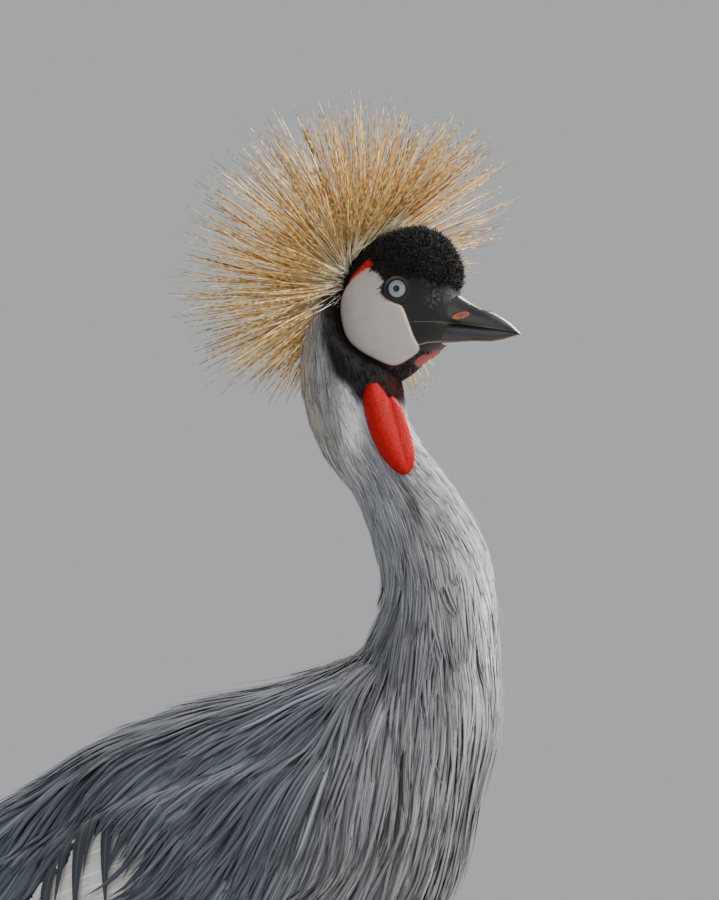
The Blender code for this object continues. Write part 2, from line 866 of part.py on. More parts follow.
def toe_form(heel, along, length, thick, joints):
    """One toe with a pad at every joint."""
    rings = []
    for k in range(joints * 2 + 1):
        part = k / (joints * 2)
        pad = k % 2 == 0
        half_width = thick * (1.0 - 0.38 * part) * (1.0 if pad else 0.84)
        height = thick * 1.75 * (1.0 - 0.5 * part) * (1.0 if pad else 0.93)
        rings.append(toe_ring(heel + along * length * part, along, half_width, height))
    return loft("toe", rings, "leg")


def claw_form(name, heel, along, length):
    """A claw, down to its point just above the floor."""
    rings = []
    left = Vector((-along.y, along.x, 0.0))
    for part, half_width, low, high in CLAW_SECTIONS:
        spot = heel + along * (length + CLAW_LENGTH * part)
        spot.z = (low + high) * 0.5
        half = (half_width * MM, (high - low) * 0.5 * MM, (high - low) * 0.5 * MM)
        rings.append(oval(spot * MM, left, Vector((0.0, 0.0, 1.0)), half, 5))
    return loft(name, rings, "horn")


def build_foot(side, word):
    """Four toes and their hub as one solid, then the four claws."""
    heel = Vector((ANKLE_FORWARD, side * LEG_SPACING, 0.0))
    foot = hub_form("foot_" + word, side)
    claws = {}
    for label, turn, length, thick in TOES:
        along = toe_direction(side, turn)
        toe = toe_form(heel, along, length, thick, 2 if label == "back" else 3)
        name = "claw_" + label + "_" + word
        claws[name] = claw_form(name, heel, along, length)
        make_room(claws[name], toe)
        boolean(foot, toe, "UNION", "MANIFOLD")
        drop(toe)
    keep_largest(foot)
    return foot, claws


def build_legs(blanks):
    """Thighs, legs and feet of both sides."""
    parts = {}
    for side, word in ((-1, "right"), (1, "left")):
        thigh = tube("thigh_" + word, thigh_rows(side), "slate", 12)
        make_room(thigh, blanks["torso"], blanks["wing_" + word])
        foot, claws = build_foot(side, word)
        leg = tube("leg_" + word, leg_rows(side), "leg")
        upper_leg = tube("upper_leg", thigh_rows(side), "slate", 12)
        hub = hub_form("hub", side)
        make_room(leg, upper_leg, hub)
        drop(upper_leg)
        drop(hub)
        parts["thigh_" + word] = thigh
        parts["leg_" + word] = leg
        parts["foot_" + word] = foot
        parts.update(claws)
    return parts


def pad_axes():
    """The root pad's own axes: down the back of the head, left, and out."""
    along = Vector(PAD_ALONG).normalized()
    left = Vector((0.0, 1.0, 0.0))
    out = along.cross(left)
    if out.x > 0.0:
        out = -out
    return along, left, out


def pad_point(along_part, left_part, out_part):
    """A point of the pad from parts of its three half sizes."""
    along, left, out = pad_axes()
    spot = Vector(PAD_CENTRE)
    spot += along * PAD_HALF[0] * along_part
    spot += left * PAD_HALF[1] * left_part
    spot += out * PAD_HALF[2] * out_part
    return head_point(spot.x, spot.y, spot.z)


def pad_form(name):
    """The pad at the back of the crown that the crest grows from."""
    bm = bmesh.new()
    bmesh.ops.create_uvsphere(bm, u_segments=12, v_segments=8, radius=1.0)
    for vert in bm.verts:
        vert.co = pad_point(vert.co.x, vert.co.y, vert.co.z)
    return to_object(name, bm, "gold")


def surface_tree(item):
    """A search tree over a form's faces."""
    bm = bmesh.new()
    bm.from_mesh(item.data)
    tree = BVHTree.FromBMesh(bm)
    bm.free()
    return tree


def height_over(tree, spot):
    """How far a point stands outside a form; below zero is inside."""
    near, normal, _, distance = tree.find_nearest(spot)
    if (spot - near).dot(normal) < 0.0:
        return -distance
    return distance


def lifted(spot, trees, height):
    """A point moved out until it stands clear of every form."""
    for _ in range(4):
        for tree in trees:
            near, normal, _, _ = tree.find_nearest(spot)
            if (spot - near).dot(normal) < height * MM:
                spot = near + normal * height * MM
    return spot


def fuse(target, pieces):
    """Join closed pieces to the node they are rooted in, in one union."""
    bundle = bpy.data.collections.new("pieces")
    bpy.context.scene.collection.children.link(bundle)
    for piece in pieces:
        bpy.context.scene.collection.objects.unlink(piece)
        bundle.objects.link(piece)
    step = target.modifiers.new("union", "BOOLEAN")
    step.operation = "UNION"
    step.solver = "MANIFOLD"
    step.operand_type = "COLLECTION"
    step.collection = bundle
    apply_modifiers(target)
    for piece in pieces:
        drop(piece)
    bpy.data.collections.remove(bundle)
    keep_largest(target)


def spine(root, tip, radius):
    """One stiff crest feather: three sided, tapering to its tip."""
    run = (tip - root).normalized()
    right = run.orthogonal().normalized()
    up = run.cross(right)
    bm = bmesh.new()
    loops = []
    for part, size in ((0.0, 1.0), (0.8, 0.75)):
        loop = []
        for k in range(3):
            angle = 2.0 * math.pi * k / 3
            out = right * math.cos(angle) + up * math.sin(angle)
            loop.append(bm.verts.new(root.lerp(tip, part) + out * radius * size * MM))
        loops.append(loop)
    bm.faces.new(loops[0])
    for near, far in zip(loops, loops[1:]):
        for k in range(3):
            j = (k + 1) % 3
            bm.faces.new((near[k], near[j], far[j], far[k]))
    point = bm.verts.new(tip)
    for k in range(3):
        bm.faces.new((loops[-1][k], loops[-1][(k + 1) % 3], point))
    return to_object("spine", bm, "gold")


def crest_directions():
    """Evenly spread directions of the fan, in the head's frame."""
    chance = random.Random(SEED)
    axis = Vector(CREST_AXIS).normalized()
    turn = math.pi * (3.0 - math.sqrt(5.0))
    chosen = []
    for k in range(CREST_COUNT):
        height = 1.0 - 2.0 * (k + 0.5) / CREST_COUNT
        reach = math.sqrt(1.0 - height * height)
        way = Vector((reach * math.cos(turn * k), reach * math.sin(turn * k), height))
        way += Vector((chance.uniform(-1, 1), chance.uniform(-1, 1), chance.uniform(-1, 1))) * 0.05
        way.normalize()
        lean = math.degrees(way.angle(axis))
        most = CREST_SIDE_LEAN_DEG if abs(way.y) > 0.6 else CREST_LEAN_DEG
        length = CREST_RADIUS * chance.uniform(0.93, 1.02)
        if lean < most:
            chosen.append((way, length))
    return chosen


def crest_spine_ends(way, length):
    """Where one crest feather leaves the pad and where it ends."""
    along, left, out = pad_axes()
    share = Vector((way.dot(along) * 0.75, way.dot(left) * 0.85, max(way.dot(out), 0.3)))
    share.normalize()
    root = pad_point(*(share * 0.8))
    spot = Vector(CREST_CENTRE) + way * length
    return root, head_point(spot.x, spot.y, spot.z)


def build_crest(blanks):
    """The crown: stiff feathers fanned out from a pad behind the cap."""
    crest = pad_form("crest")
    trees = [surface_tree(blanks[word]) for word in ("head", "cap", "neck")]
    spines = []
    for way, length in crest_directions():
        root, tip = crest_spine_ends(way, length)
        start = 9.0 * MM / (tip - root).length
        parts_along = [start + (1.0 - start) * k / 12 for k in range(13)]
        clear = min(
            height_over(tree, root.lerp(tip, part)) for tree in trees for part in parts_along
        )
        if clear > SPINE_CLEAR * MM:
            spines.append(spine(root, tip, CREST_SPINE))
    make_room(crest, blanks["cap"])
    fuse(crest, spines)
    return crest


def make_blanks():
    """The smooth whole forms that neighbours are fitted to."""
    blanks = {
        "head": head_blank("head_form"),
        "cap": cap_form("cap_form"),
        "pad": pad_form("pad_form"),
        "bill_upper": upper_form("upper_form"),
        "torso": loft("torso_form", torso_rings(18), "slate"),
        "neck": loft("neck_form", neck_rings(16), "neck"),
        "tail": loft("tail_form", tail_rings(14), "black"),
        "wattle": wattle_lobe("wattle_form", WATTLE_NEAR, WATTLE_SIDE),
        "lobe": wattle_lobe("lobe_form", WATTLE_FAR, WATTLE_FAR_SIDE),
    }
    for side, word in ((-1, "right"), (1, "left")):
        blanks["wing_" + word] = loft("wing_form", wing_rings(side, 14), "white")
    return blanks


def blade(centres, normals, half_widths, paint):
    """A feather with a low ridge and a pointed end, triangles alike on both faces."""
    bm = bmesh.new()
    loops = []
    for k, centre in enumerate(centres[:-1]):
        run = (centres[k + 1] - centres[max(k - 1, 0)]).normalized()
        side = run.cross(normals[k]).normalized()
        up = side.cross(run)
        wide = side * half_widths[k] * MM
        thick = up * BLADE_HALF_THICKNESS * MM
        corners = (centre - wide, centre + thick, centre + wide, centre - thick)
        loops.append([bm.verts.new(corner) for corner in corners])
    for near, far in zip(loops, loops[1:]):
        for rim in (0, 2):
            for ridge in (1, 3):
                bm.faces.new((near[rim], near[ridge], far[ridge]))
                bm.faces.new((near[rim], far[ridge], far[rim]))
    point = bm.verts.new(centres[-1])
    first, last = loops[0], loops[-1]
    bm.faces.new((first[0], first[1], first[2]))
    bm.faces.new((first[0], first[2], first[3]))
    for k in range(4):
        bm.faces.new((last[k], last[(k + 1) % 4], point))
    return to_object("feather", bm, paint)


def row_at(rows, place):
    """A table's row at a place between its rows."""
    low = max(0, min(int(place), len(rows) - 2))
    part = place - low
    return tuple(a + (b - a) * part for a, b in zip(rows[low], rows[low + 1]))


def laid_feather(face, place, reach, half_width, rise, paint):
    """A feather over a face: rooted in it, bending with it, clear of the next tiers."""
    tip = place + reach
    places = [place] + [k for k in range(int(place) + 1, int(tip) + 1)]
    places = [spot for spot in places if spot == place or place + 0.15 < spot < tip - 0.3]
    places += [tip - 0.14 * reach, tip]
    centres = []
    normals = []
    widths = []
    for spot in places:
        part = (spot - place) / reach
        lift = rise * (spot - place) if part > 0.0 else -ROOT_SINK
        centre = face(spot, lift)
        centres.append(centre)
        normals.append((face(spot, lift + 1.0) - centre).normalized())
        widths.append(half_width * min(0.6 + 1.6 * part, 1.0, 2.6 * (1.0 - part) + 0.2))
    return blade(centres, normals, widths, paint)


def oval_face(centre, across, up, half, angle, lift, squareness):
    """A point lifted square off an oval's edge, all in millimetres."""
    side = signed_power(math.cos(angle), 2.0 / squareness)
    rise = signed_power(math.sin(angle), 2.0 / squareness)
    out = across * (math.cos(angle) / half[0]) + up * (math.sin(angle) / half[1])
    return centre + across * side * half[0] + up * rise * half[1] + out.normalized() * lift


def wing_face(side, up_part):
    """The line along the wing's outer face at one place up the wing."""
    lean = math.radians(WING_LEAN_DEG) * side
    up = Vector((0.0, -math.sin(lean), math.cos(lean)))
    out_way = Vector((0.0, math.cos(lean), math.sin(lean))) * side
    angle = math.asin(up_part)

    def face(place, lift):
        forward, height, tall, thick, out = row_at(WING_STATIONS, place)
        centre = Vector((forward, side * out, height))
        return oval_face(centre, out_way, up, (thick, tall), angle, lift, 2.0) * MM

    return face


def wing_feathers(side):
    """The wing's tiers, front coverts to the long quills of its tip."""
    chance = random.Random(SEED + 5)
    pieces = []
    for place, count, low, high, reach, half_width, rise in WING_ROWS:
        for k in range(count):
            up_part = low + (high - low) * k / (count - 1)
            length = reach * chance.uniform(0.94, 1.0)
            face = wing_face(side, up_part)
            pieces.append(laid_feather(face, place, length, half_width, rise, "white"))
    return pieces


def tail_feathers():
    """The tail's quills, the middle pair on top and each pair under the last."""
    pieces = []
    droop = math.radians(TAIL_DROOP_DEG)
    middle = (TAIL_FEATHERS - 1) * 0.5
    for k in range(TAIL_FEATHERS):
        share = (k - middle) / middle
        depth = TAIL_STEP * (abs(k - middle) * 2.0 - (1.0 if k > middle else 0.0))
        turn = math.radians(TAIL_SPREAD_DEG) * share
        run = Vector((-math.cos(droop) * math.cos(turn), math.sin(turn), -math.sin(droop)))
        up = Vector((-math.sin(droop), 0.0, math.cos(droop)))
        root = Vector((TAIL_ROOT[0], share * TAIL_ROOT_HALF_WIDTH, TAIL_ROOT[1]))
        root -= up * depth * 0.6
        reach = TAIL_LENGTH * (1.0 - 0.06 * abs(share))
        centres = []
        for step in (0.0, 0.35, 0.8, 0.95, 1.0):
            centres.append((root + run * reach * step - up * depth * 0.4 * step) * MM)
        widths = [TAIL_HALF_WIDTH * part for part in (0.5, 1.0, 1.0, 0.6, 0.0)]
        pieces.append(blade(centres, [up] * len(centres), widths, "black"))
    return pieces


def neck_face(angle):
    """The line down the neck's face at one angle round it."""

    def face(place, lift):
        forward, height, deep, wide = row_at(NECK_STATIONS, place)
        before = row_at(NECK_STATIONS, place - 0.7)
        after = row_at(NECK_STATIONS, place + 0.7)
        run = Vector((after[0] - before[0], 0.0, after[1] - before[1])).normalized()
        across = Vector((0.0, 1.0, 0.0))
        centre = Vector((forward, 0.0, height))
        return oval_face(centre, across.cross(run), across, (deep, wide), angle, lift, 2.0) * MM

    return face


def clear_of(face, place, reach, rise, trees, room):
    """Whether a feather's middle line keeps clear of other nodes' forms."""
    for step in (0.0, 0.25, 0.5, 0.75, 1.0):
        spot = face(place + reach * step, rise * reach * step)
        if min(height_over(tree, spot) for tree in trees) < room * MM:
            return False
    return True


def neck_feathers(others, lobes):
    """Long locks hanging down the neck and over the breast."""
    chance = random.Random(SEED + 7)
    pieces = []
    for tier, (place, count, reach, half_width) in enumerate(NECK_TIERS):
        for k in range(count):
            angle = 2.0 * math.pi * (k + 0.5 * (tier % 2)) / count
            face = neck_face(angle)
            length = reach * chance.uniform(0.9, 1.0)
            room = half_width + LOBE_CLEAR
            beside = clear_of(face, place, length, TIER_RISE, lobes, room)
            over = clear_of(face, place, length, TIER_RISE, others, room - half_width * 0.5)
            if beside and over:
                piece = laid_feather(face, place, length, half_width, TIER_RISE, "neck")
                pieces.append(piece)
    return pieces


def back_face(angle):
    """The line along the torso's face at one angle from its top."""

    def face(place, lift):
        forward, low, high, wide = row_at(TORSO_SLICES, place)
        middle = low + (high - low) * TORSO_WIDEST
        centre = Vector((forward, 0.0, middle))
        across = Vector((0.0, 1.0, 0.0))
        up = Vector((0.0, 0.0, 1.0))
        half = (wide, high - middle)
        return oval_face(centre, across, up, half, angle, lift, TORSO_SQUARENESS) * MM

    return face


def back_feathers(others):
    """Lance-shaped feathers of the back and shoulders."""
    chance = random.Random(SEED + 9)
    pieces = []
    for place, spread, count, reach, half_width in BACK_TIERS:
        for k in range(count):
            share = (k - (count - 1) * 0.5) / ((count - 1) * 0.5)
            face = back_face(math.radians(90.0 + spread * share))
            length = reach * chance.uniform(0.92, 1.0)
            if clear_of(face, place, length, TIER_RISE, others, half_width + FEATHER_CLEAR):
                piece = laid_feather(face, place, length, half_width, TIER_RISE, "slate")
                pieces.append(piece)
    return pieces


def build_body(blanks):
    """Neck, torso, wings and tail, each with its long feathers."""
    parts = {}
    tree = {word: surface_tree(form) for word, form in blanks.items()}
    wings = [tree["wing_right"], tree["wing_left"]]
    torso = loft("torso", torso_rings(18), "slate")
    fuse(torso, back_feathers([tree["neck"], tree["tail"]] + wings))
    parts["torso"] = torso
    neck = loft("neck", neck_rings(16), "neck")
    make_room(neck, blanks["torso"], blanks["head"], blanks["pad"])
    carve(neck, *face_rooms())
    fuse(neck, neck_feathers([tree["torso"]] + wings, [tree["wattle"], tree["lobe"]]))
    parts["neck"] = neck
    tail = loft("tail", tail_rings(14), "black")
    make_room(tail, blanks["torso"])
    fuse(tail, tail_feathers())
    parts["tail"] = tail
    for side, word in ((-1, "right"), (1, "left")):
        wing = loft("wing_" + word, wing_rings(side, 14), "white")
        make_room(wing, blanks["torso"], blanks["neck"], blanks["tail"])
        fuse(wing, wing_feathers(side))
        parts["wing_" + word] = wing
    return parts


def settle(parts):
    """Hang the parts on one empty and bring the origin under the bird's middle."""
    low = Vector((1e9, 1e9, 1e9))
    high = -low
    for item in parts.values():
        for vert in item.data.vertices:
            for axis in range(3):
                low[axis] = min(low[axis], vert.co[axis])
                high[axis] = max(high[axis], vert.co[axis])
    stand = bpy.data.objects.new("crane_frame", None)
    bpy.context.scene.collection.objects.link(stand)
    stand.location = (-(low.x + high.x) * 0.5, -(low.y + high.y) * 0.5, -low.z)
    group = bpy.data.collections.new("grey_crowned_crane")
    bpy.context.scene.collection.children.link(group)
    for item in parts.values():
        item.parent = stand
        for home in list(item.users_collection):
            home.objects.unlink(item)
        group.objects.link(item)
        item.data.shade_smooth()
        item.data.set_sharp_from_angle(angle=math.radians(50.0))


def main():
    """Build the whole bird."""
    clear_scene()
    blanks = make_blanks()
    parts = build_head(blanks)
    parts.update(build_body(blanks))
    parts["wattle"] = build_wattle(blanks)
    parts["crest"] = build_crest(blanks)
    parts.update(build_legs(blanks))
    for blank in blanks.values():
        drop(blank)
    settle(parts)


main()
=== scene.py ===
"""Looks of the grey crowned crane: one feathered skin, face, bill, eyes, crest, wings and legs.

Shapes are worked out in the design frame, in millimetres: the bird faces +X, its left is +Y,
the floor is 0 and the origin lies under the eyes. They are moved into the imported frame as
they become meshes. The head's own frame has its origin midway between the eyes.
"""

import math

import bpy
import numpy as np
from mathutils import Matrix, Vector
from mathutils.bvhtree import BVHTree
from mathutils.kdtree import KDTree


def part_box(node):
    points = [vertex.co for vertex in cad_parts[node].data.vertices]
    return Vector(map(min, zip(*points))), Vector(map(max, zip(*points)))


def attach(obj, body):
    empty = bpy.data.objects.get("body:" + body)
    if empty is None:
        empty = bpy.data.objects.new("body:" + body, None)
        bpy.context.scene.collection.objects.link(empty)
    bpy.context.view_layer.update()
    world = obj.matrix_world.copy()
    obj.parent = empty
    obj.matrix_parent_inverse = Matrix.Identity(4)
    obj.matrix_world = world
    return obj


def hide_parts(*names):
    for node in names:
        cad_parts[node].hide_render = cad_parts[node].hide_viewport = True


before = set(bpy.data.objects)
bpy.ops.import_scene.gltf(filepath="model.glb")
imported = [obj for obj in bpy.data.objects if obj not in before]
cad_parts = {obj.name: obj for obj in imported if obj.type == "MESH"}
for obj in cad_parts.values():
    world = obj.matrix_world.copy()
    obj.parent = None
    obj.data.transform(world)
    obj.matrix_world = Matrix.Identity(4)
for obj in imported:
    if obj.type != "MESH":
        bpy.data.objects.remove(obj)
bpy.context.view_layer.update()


def table(*rows):
    """Rows of numbers as an array."""
    return np.array(rows, float)


# Driving dimensions, in millimetres unless a name says otherwise.
MM = 0.001
SIDES = ((-1, "right"), (1, "left"))
X_AXIS, Y_AXIS, Z_AXIS = np.eye(3)
EYES = np.array((32.4, 0, 960))
HEAD_TURN = np.array(Matrix.Rotation(math.radians(-15), 3, "Z"))
EYE_RADIUS = 10.5
EYE_ACROSS = 15.4
EYE_TILT_DEG = 10
IRIS_RADIUS = 6.5
PUPIL_RADIUS = 2.25
CORNEA_BULGE = 0.35
LID_RADIUS = 8.2
LID_THICKNESS = 1.25
LID_ACROSS = 22.9

# Slices of head (height, back, front, half width), cap and bill (forward, low, high, half width).
HEAD_WIDEST = -14
HEAD_SLICES = table(
    (38, -22, 14, 8), (34, -32, 25, 14), (27, -40, 33, 18.5), (18, -47, 38, 21.5), (8, -53, 40, 23.5),
    (-2, -57, 41, 24.8), (-12, -59, 43, 25.5), (-22, -60, 43, 26), (-32, -59, 39, 26), (-40, -56, 31, 25),
    (-47, -51, 22, 23), (-54, -45, 11, 20), (-61, -37, 2, 15), (-66, -29, -6, 8),
)
CAP_SLICES = table(
    (-34, 25, 30, 7), (-29, 20, 34, 14), (-20, 15.5, 37.5, 20.5), (-9, 10, 42.3, 24.5), (5, 7, 44.9, 26.2),
    (18, 2.8, 42.6, 25.2), (29, -2, 36.6, 21.5), (37, -3.5, 28, 15.5), (42, -3, 18.5, 9), (44, 2, 12, 3.5),
)
UPPER_SLICES = table(
    (20, -24.8, 5, 15.5), (37, -25.6, -2.8, 11.6), (48, -26.9, -9.4, 9.8), (58.6, -28.2, -14.6, 8.4),
    (67, -29.4, -17.6, 7.1), (75, -30.7, -21.8, 5.6), (81, -31.8, -26, 4.1), (86, -32.9, -30.5, 2.3),
    (88.9, -33.7, -33.2, 0.8),
)
LOWER_SLICES = table(
    (14, -44.5, -24, 13.5), (29, -40.8, -24.6, 12), (41, -40, -25.4, 9.2), (53, -39.2, -26.9, 7.2),
    (67, -39.4, -28.8, 5.2), (76, -38, -30.3, 3.9), (83, -36, -31.8, 2.4), (87.4, -34.6, -33.2, 1),
)
# Slices of each half of the bill, with the share of their height where they are widest.
BILL_HALVES = {"bill_upper": (UPPER_SLICES, 0.3), "bill_lower": (LOWER_SLICES, 0.7)}
BILL_SQUARENESS = 2.3
NOSTRIL = (46, -19.6)
NOSTRIL_HALF = (6.2, 2.4)

# Outlines and lines on the face: forward and height in the head's frame.
CHEEK_OUTLINE = table(
    (-20.5, 15.2), (-9.9, 7.4), (-11, 0), (-8, -6.6), (-0.8, -10.4), (5.6, -13.4), (10.2, -24.1),
    (13.4, -34), (15.6, -43.8), (6.4, -51), (-3.5, -55.3), (-12.9, -52.6), (-31, -43.4), (-41.6, -32.8),
    (-47, -14), (-44.8, -2.2), (-37.6, 6.2), (-29, 12.2),
)
RED_OUTLINE = table(
    (-21.6, 22.8), (-19.2, 16.2), (-21.4, 14), (-29, 11), (-37.6, 5.2), (-38.8, 8), (-29.6, 17.4),
)
GULAR_OUTLINE = table(
    (8, -55.5), (11.5, -50.5), (19.5, -46.6), (28.7, -42.8), (36, -41), (38, -44), (28, -52), (18, -59),
    (9, -63),
)
MOUTH_LINE = table((10, -24.6), (30, -24.8), (50, -27.2), (73, -30.4), (88, -33.4))
JAW_LINE = table((8, -43.6), (11, -41.9), (21.6, -38.9), (32.8, -37.9), (46, -38.8))
CAP_LINE = table((-26, 31), (-9, 43), (5, 46), (18, 44), (29, 38), (44, 26))
# The back edge of the charcoal band: height and forward.
CHARCOAL_LINE = table((-90, -22), (-80, -25), (-70, -31), (-61, -42), (-41, -49.5), (-20, -54), (10, -57))

# Body: neck (forward, height, half deep, half wide), torso (forward, low, high, half width),
# wing (forward, height, half tall, half thick, aside) and tail (forward, height, half thick, half wide).
NECK_STATIONS = table(
    (-22, 960, 12, 13), (-21, 946, 25, 22), (-15, 918, 33, 28), (-9, 887, 37, 31), (0, 855, 33.5, 30),
    (11, 837, 31, 29.5), (22, 822, 31, 30), (38.5, 792, 37, 33), (51, 763, 41, 37), (55, 741, 42.6, 41),
    (54, 719, 46, 46), (50, 695, 51, 54), (43, 662, 51, 60), (36, 634, 40, 52),
)
TORSO_SLICES = table(
    (101, 652, 690, 16), (97, 622, 699, 36), (89, 598, 703, 50), (78, 566, 705, 62), (66, 522, 705, 71),
    (46, 486, 705, 80), (18, 464, 704, 87), (-20, 450, 691, 92), (-66, 444, 673, 95), (-110, 446, 662, 95),
    (-151, 451, 650, 92), (-194, 458, 632, 84), (-236, 465, 605, 73), (-280, 471, 578, 58),
    (-320, 476, 552, 41), (-352, 481, 530, 26), (-372, 488, 513, 12),
)
TORSO_WIDEST = 0.46
TORSO_SQUARENESS = 2.15
WING_STATIONS = table(
    (46, 592, 12, 6, 72), (24, 588, 36, 12, 79), (-40, 570, 52, 17, 90), (-110, 548, 57, 19, 92),
    (-180, 528, 53, 18, 86), (-250, 505, 43, 14, 75), (-310, 484, 31, 8, 62), (-345, 472, 24, 3, 55),
    (-400, 455, 22, 2, 50), (-470, 433, 18, 2, 45),
)
WING_BASE = 8
WING_LEAN_DEG = 12
TAIL_STATIONS = table((-338, 506, 13, 22), (-370, 492, 11, 27), (-405, 477, 6, 26), (-424, 469, 2.5, 18))

# Thigh (forward of the hip, aside of the leg, height, half deep, half wide, share of the cut) and
# bare leg (forward, height, half deep, half wide).
HIP_FORWARD = -116
LEG_SPACING = 46
THIGH_ROWS = table(
    (0, 2, 505, 44, 30, 1), (-1, 2, 470, 43, 30, 1), (-4, 1, 440, 33, 25, 1), (-8, 0, 418, 21, 18, 1),
    (-11, 0, 398, 11, 10.5, 0.6),
)
LEG_ROWS = table(
    (-127, 410, 7.6, 7), (-131, 368, 7.2, 6.6), (-141, 298, 6.8, 6.2), (-145, 272, 8.6, 7.8),
    (-147, 256, 11, 9.6), (-146, 240, 10.6, 9.4), (-140.8, 218, 7.8, 7), (-134, 178, 6.4, 5.8),
    (-112, 50, 6.4, 5.8), (-107.6, 28, 7.8, 7.2), (-106, 12, 8.6, 8.6),
)
ANKLE_FORWARD = -106
# Toes: turn in degrees, length, half thickness and pads; the hub between them: height and radius.
TOES = {
    "middle": (2, 88, 8, 3), "inner": (27, 68, 7.4, 3), "outer": (-32, 76, 7.4, 3),
    "back": (168, 44, 6.6, 2),
}
HUB_ROWS = ((0.6, 9.5), (3, 10.5), (10, 10.2), (15, 9.2), (17, 7.5))
CLAW_LENGTH = 15
# Claw: part of its length, half width, low and high.
CLAW_SECTIONS = table(
    (-0.5, 3.2, 1.6, 7.4), (0.1, 3.3, 1.4, 7.6), (0.45, 2.6, 1, 6.4), (0.8, 1.5, 0.6, 3.8),
    (1, 0.4, 0.4, 1.4),
)

CREST_RADIUS = 134
CREST_CENTRE = (-40, 0, 8)
CREST_AXIS = (-0.8, 0, 0.6)
CREST_LEAN_DEG = 101
CREST_SIDE_LEAN_DEG = 113
CREST_COUNT = 1750
CREST_FRONT_DEG = 62
CREST_FLATNESS = 0.8
CREST_EDGE_CENTRE = (-46, 13.5, 7)
CREST_EDGE_ALONG = (-0.29, 0, -0.96)
CREST_EDGE_HALF = 19
# The crest feathers' share of the full length by their turn in the head's middle plane, in degrees.
CREST_REACH = table(
    (0, 0.66), (7, 0.76), (23, 0.90), (37, 1.03), (60, 1), (200, 1), (218, 0.98), (232, 0.88), (240, 0.70),
    (250, 0.62), (350, 0.6),
)
PAD_CENTRE = (-45, 0, 15)
PAD_ALONG = (-0.67, 0, -0.74)
PAD_REACH = 27
# Tips of the far feathers that show below the chin, and their common root, in the head's frame.
CHIN_ROOT = (-34, 22, -8)
CHIN_TIPS = table(
    (-43, 112, -83), (-38, 111, -78), (-34, 112, -73), (-40, 108, -72), (-31, 113, -66), (-36, 108, -64),
    (-29, 114, -59), (-44, 106, -66), (-47, 110, -79),
)

# How the body's feathers lie, by place in the side view: forward, height, then the
# way they point (forward, up), their length and their half width.
FLOW = table(
    (-24, 955, 0, -1, 14, 0.45), (-52, 905, 0.05, -1, 26, 0.5), (0, 905, 0.2, -1, 14, 0.5),
    (25, 900, 0.3, -1, 12, 0.5), (-38, 865, 0.3, -1, 34, 0.55), (0, 865, 0.4, -0.9, 26, 0.55),
    (35, 860, 0.62, -0.78, 22, 0.55), (-10, 825, 0.55, -0.83, 38, 0.65), (50, 825, 0.6, -0.8, 28, 0.6),
    (10, 790, 0.42, -0.91, 46, 0.75), (70, 790, 0.45, -0.9, 38, 0.75), (18, 750, 0.12, -1, 62, 0.95),
    (95, 745, 0.12, -1, 56, 0.95), (98, 700, 0, -1, 80, 1.15), (30, 705, -0.02, -1, 84, 1.2),
    (-5, 700, -0.35, -0.94, 84, 1.25), (60, 660, -0.03, -1, 100, 1.3), (95, 630, -0.08, -1, 100, 1.35),
    (75, 560, -0.2, -0.98, 95, 1.5), (60, 500, -0.5, -0.86, 70, 1.9), (0, 455, -1, -0.15, 55, 2.6),
    (-70, 445, -1, 0, 50, 3), (-250, 465, -1, 0.1, 50, 3.2), (-105, 430, -0.25, -0.97, 34, 1.8),
    (-125, 400, -0.2, -0.98, 24, 1.4), (10, 650, -0.14, -0.99, 105, 1.35),
    (10, 590, -0.16, -0.98, 100, 1.45), (-20, 520, -0.4, -0.91, 80, 2), (-30, 682, -0.78, -0.62, 95, 1.45),
    (-45, 650, -0.5, -0.86, 100, 1.4), (-50, 600, -0.4, -0.91, 100, 1.5), (-85, 660, -0.88, -0.47, 95, 1.7),
    (-100, 630, -0.62, -0.78, 95, 1.6), (-120, 580, -0.5, -0.86, 90, 1.9),
    (-170, 635, -0.9, -0.44, 90, 2.1), (-175, 605, -0.5, -0.87, 80, 2), (-190, 570, -0.25, -0.97, 62, 2.3),
    (-235, 560, -0.35, -0.94, 62, 2.4), (-260, 590, -0.9, -0.44, 75, 3), (-330, 540, -0.9, -0.45, 60, 3.6),
    (-150, 490, -0.95, -0.2, 60, 3.4),
)
FLOW_SOFTNESS = 12
LOCK_REACH = 11

# How far up the wing its white coverts show, from -1 to 1, by place along the bird.
WHITE_EDGE = table(
    (-340, -0.6), (-244, -0.5), (-222, -0.1), (-206, 0.42), (-188, 0.80), (-136, 0.88), (-116, 0.40),
    (-88, -0.4), (-40, -1.1),
)
# Long dark plumes that hang over the white coverts: forward, height, way forward, length, half width.
SCAPULAR_BLADES = table(
    (-196, 612, 0.06, 104, 5), (-176, 616, 0.10, 98, 4.6), (-216, 602, 0, 98, 4.6),
    (-225, 598, -0.05, 96, 4.2), (-187, 613, 0.02, 66, 3.6), (-154, 606, -0.30, 62, 3.2),
    (-136, 598, -0.75, 58, 2.6), (-124, 594, -0.85, 58, 2.6), (-206, 606, 0.03, 84, 4),
)
COVER_LIFT = 4.5
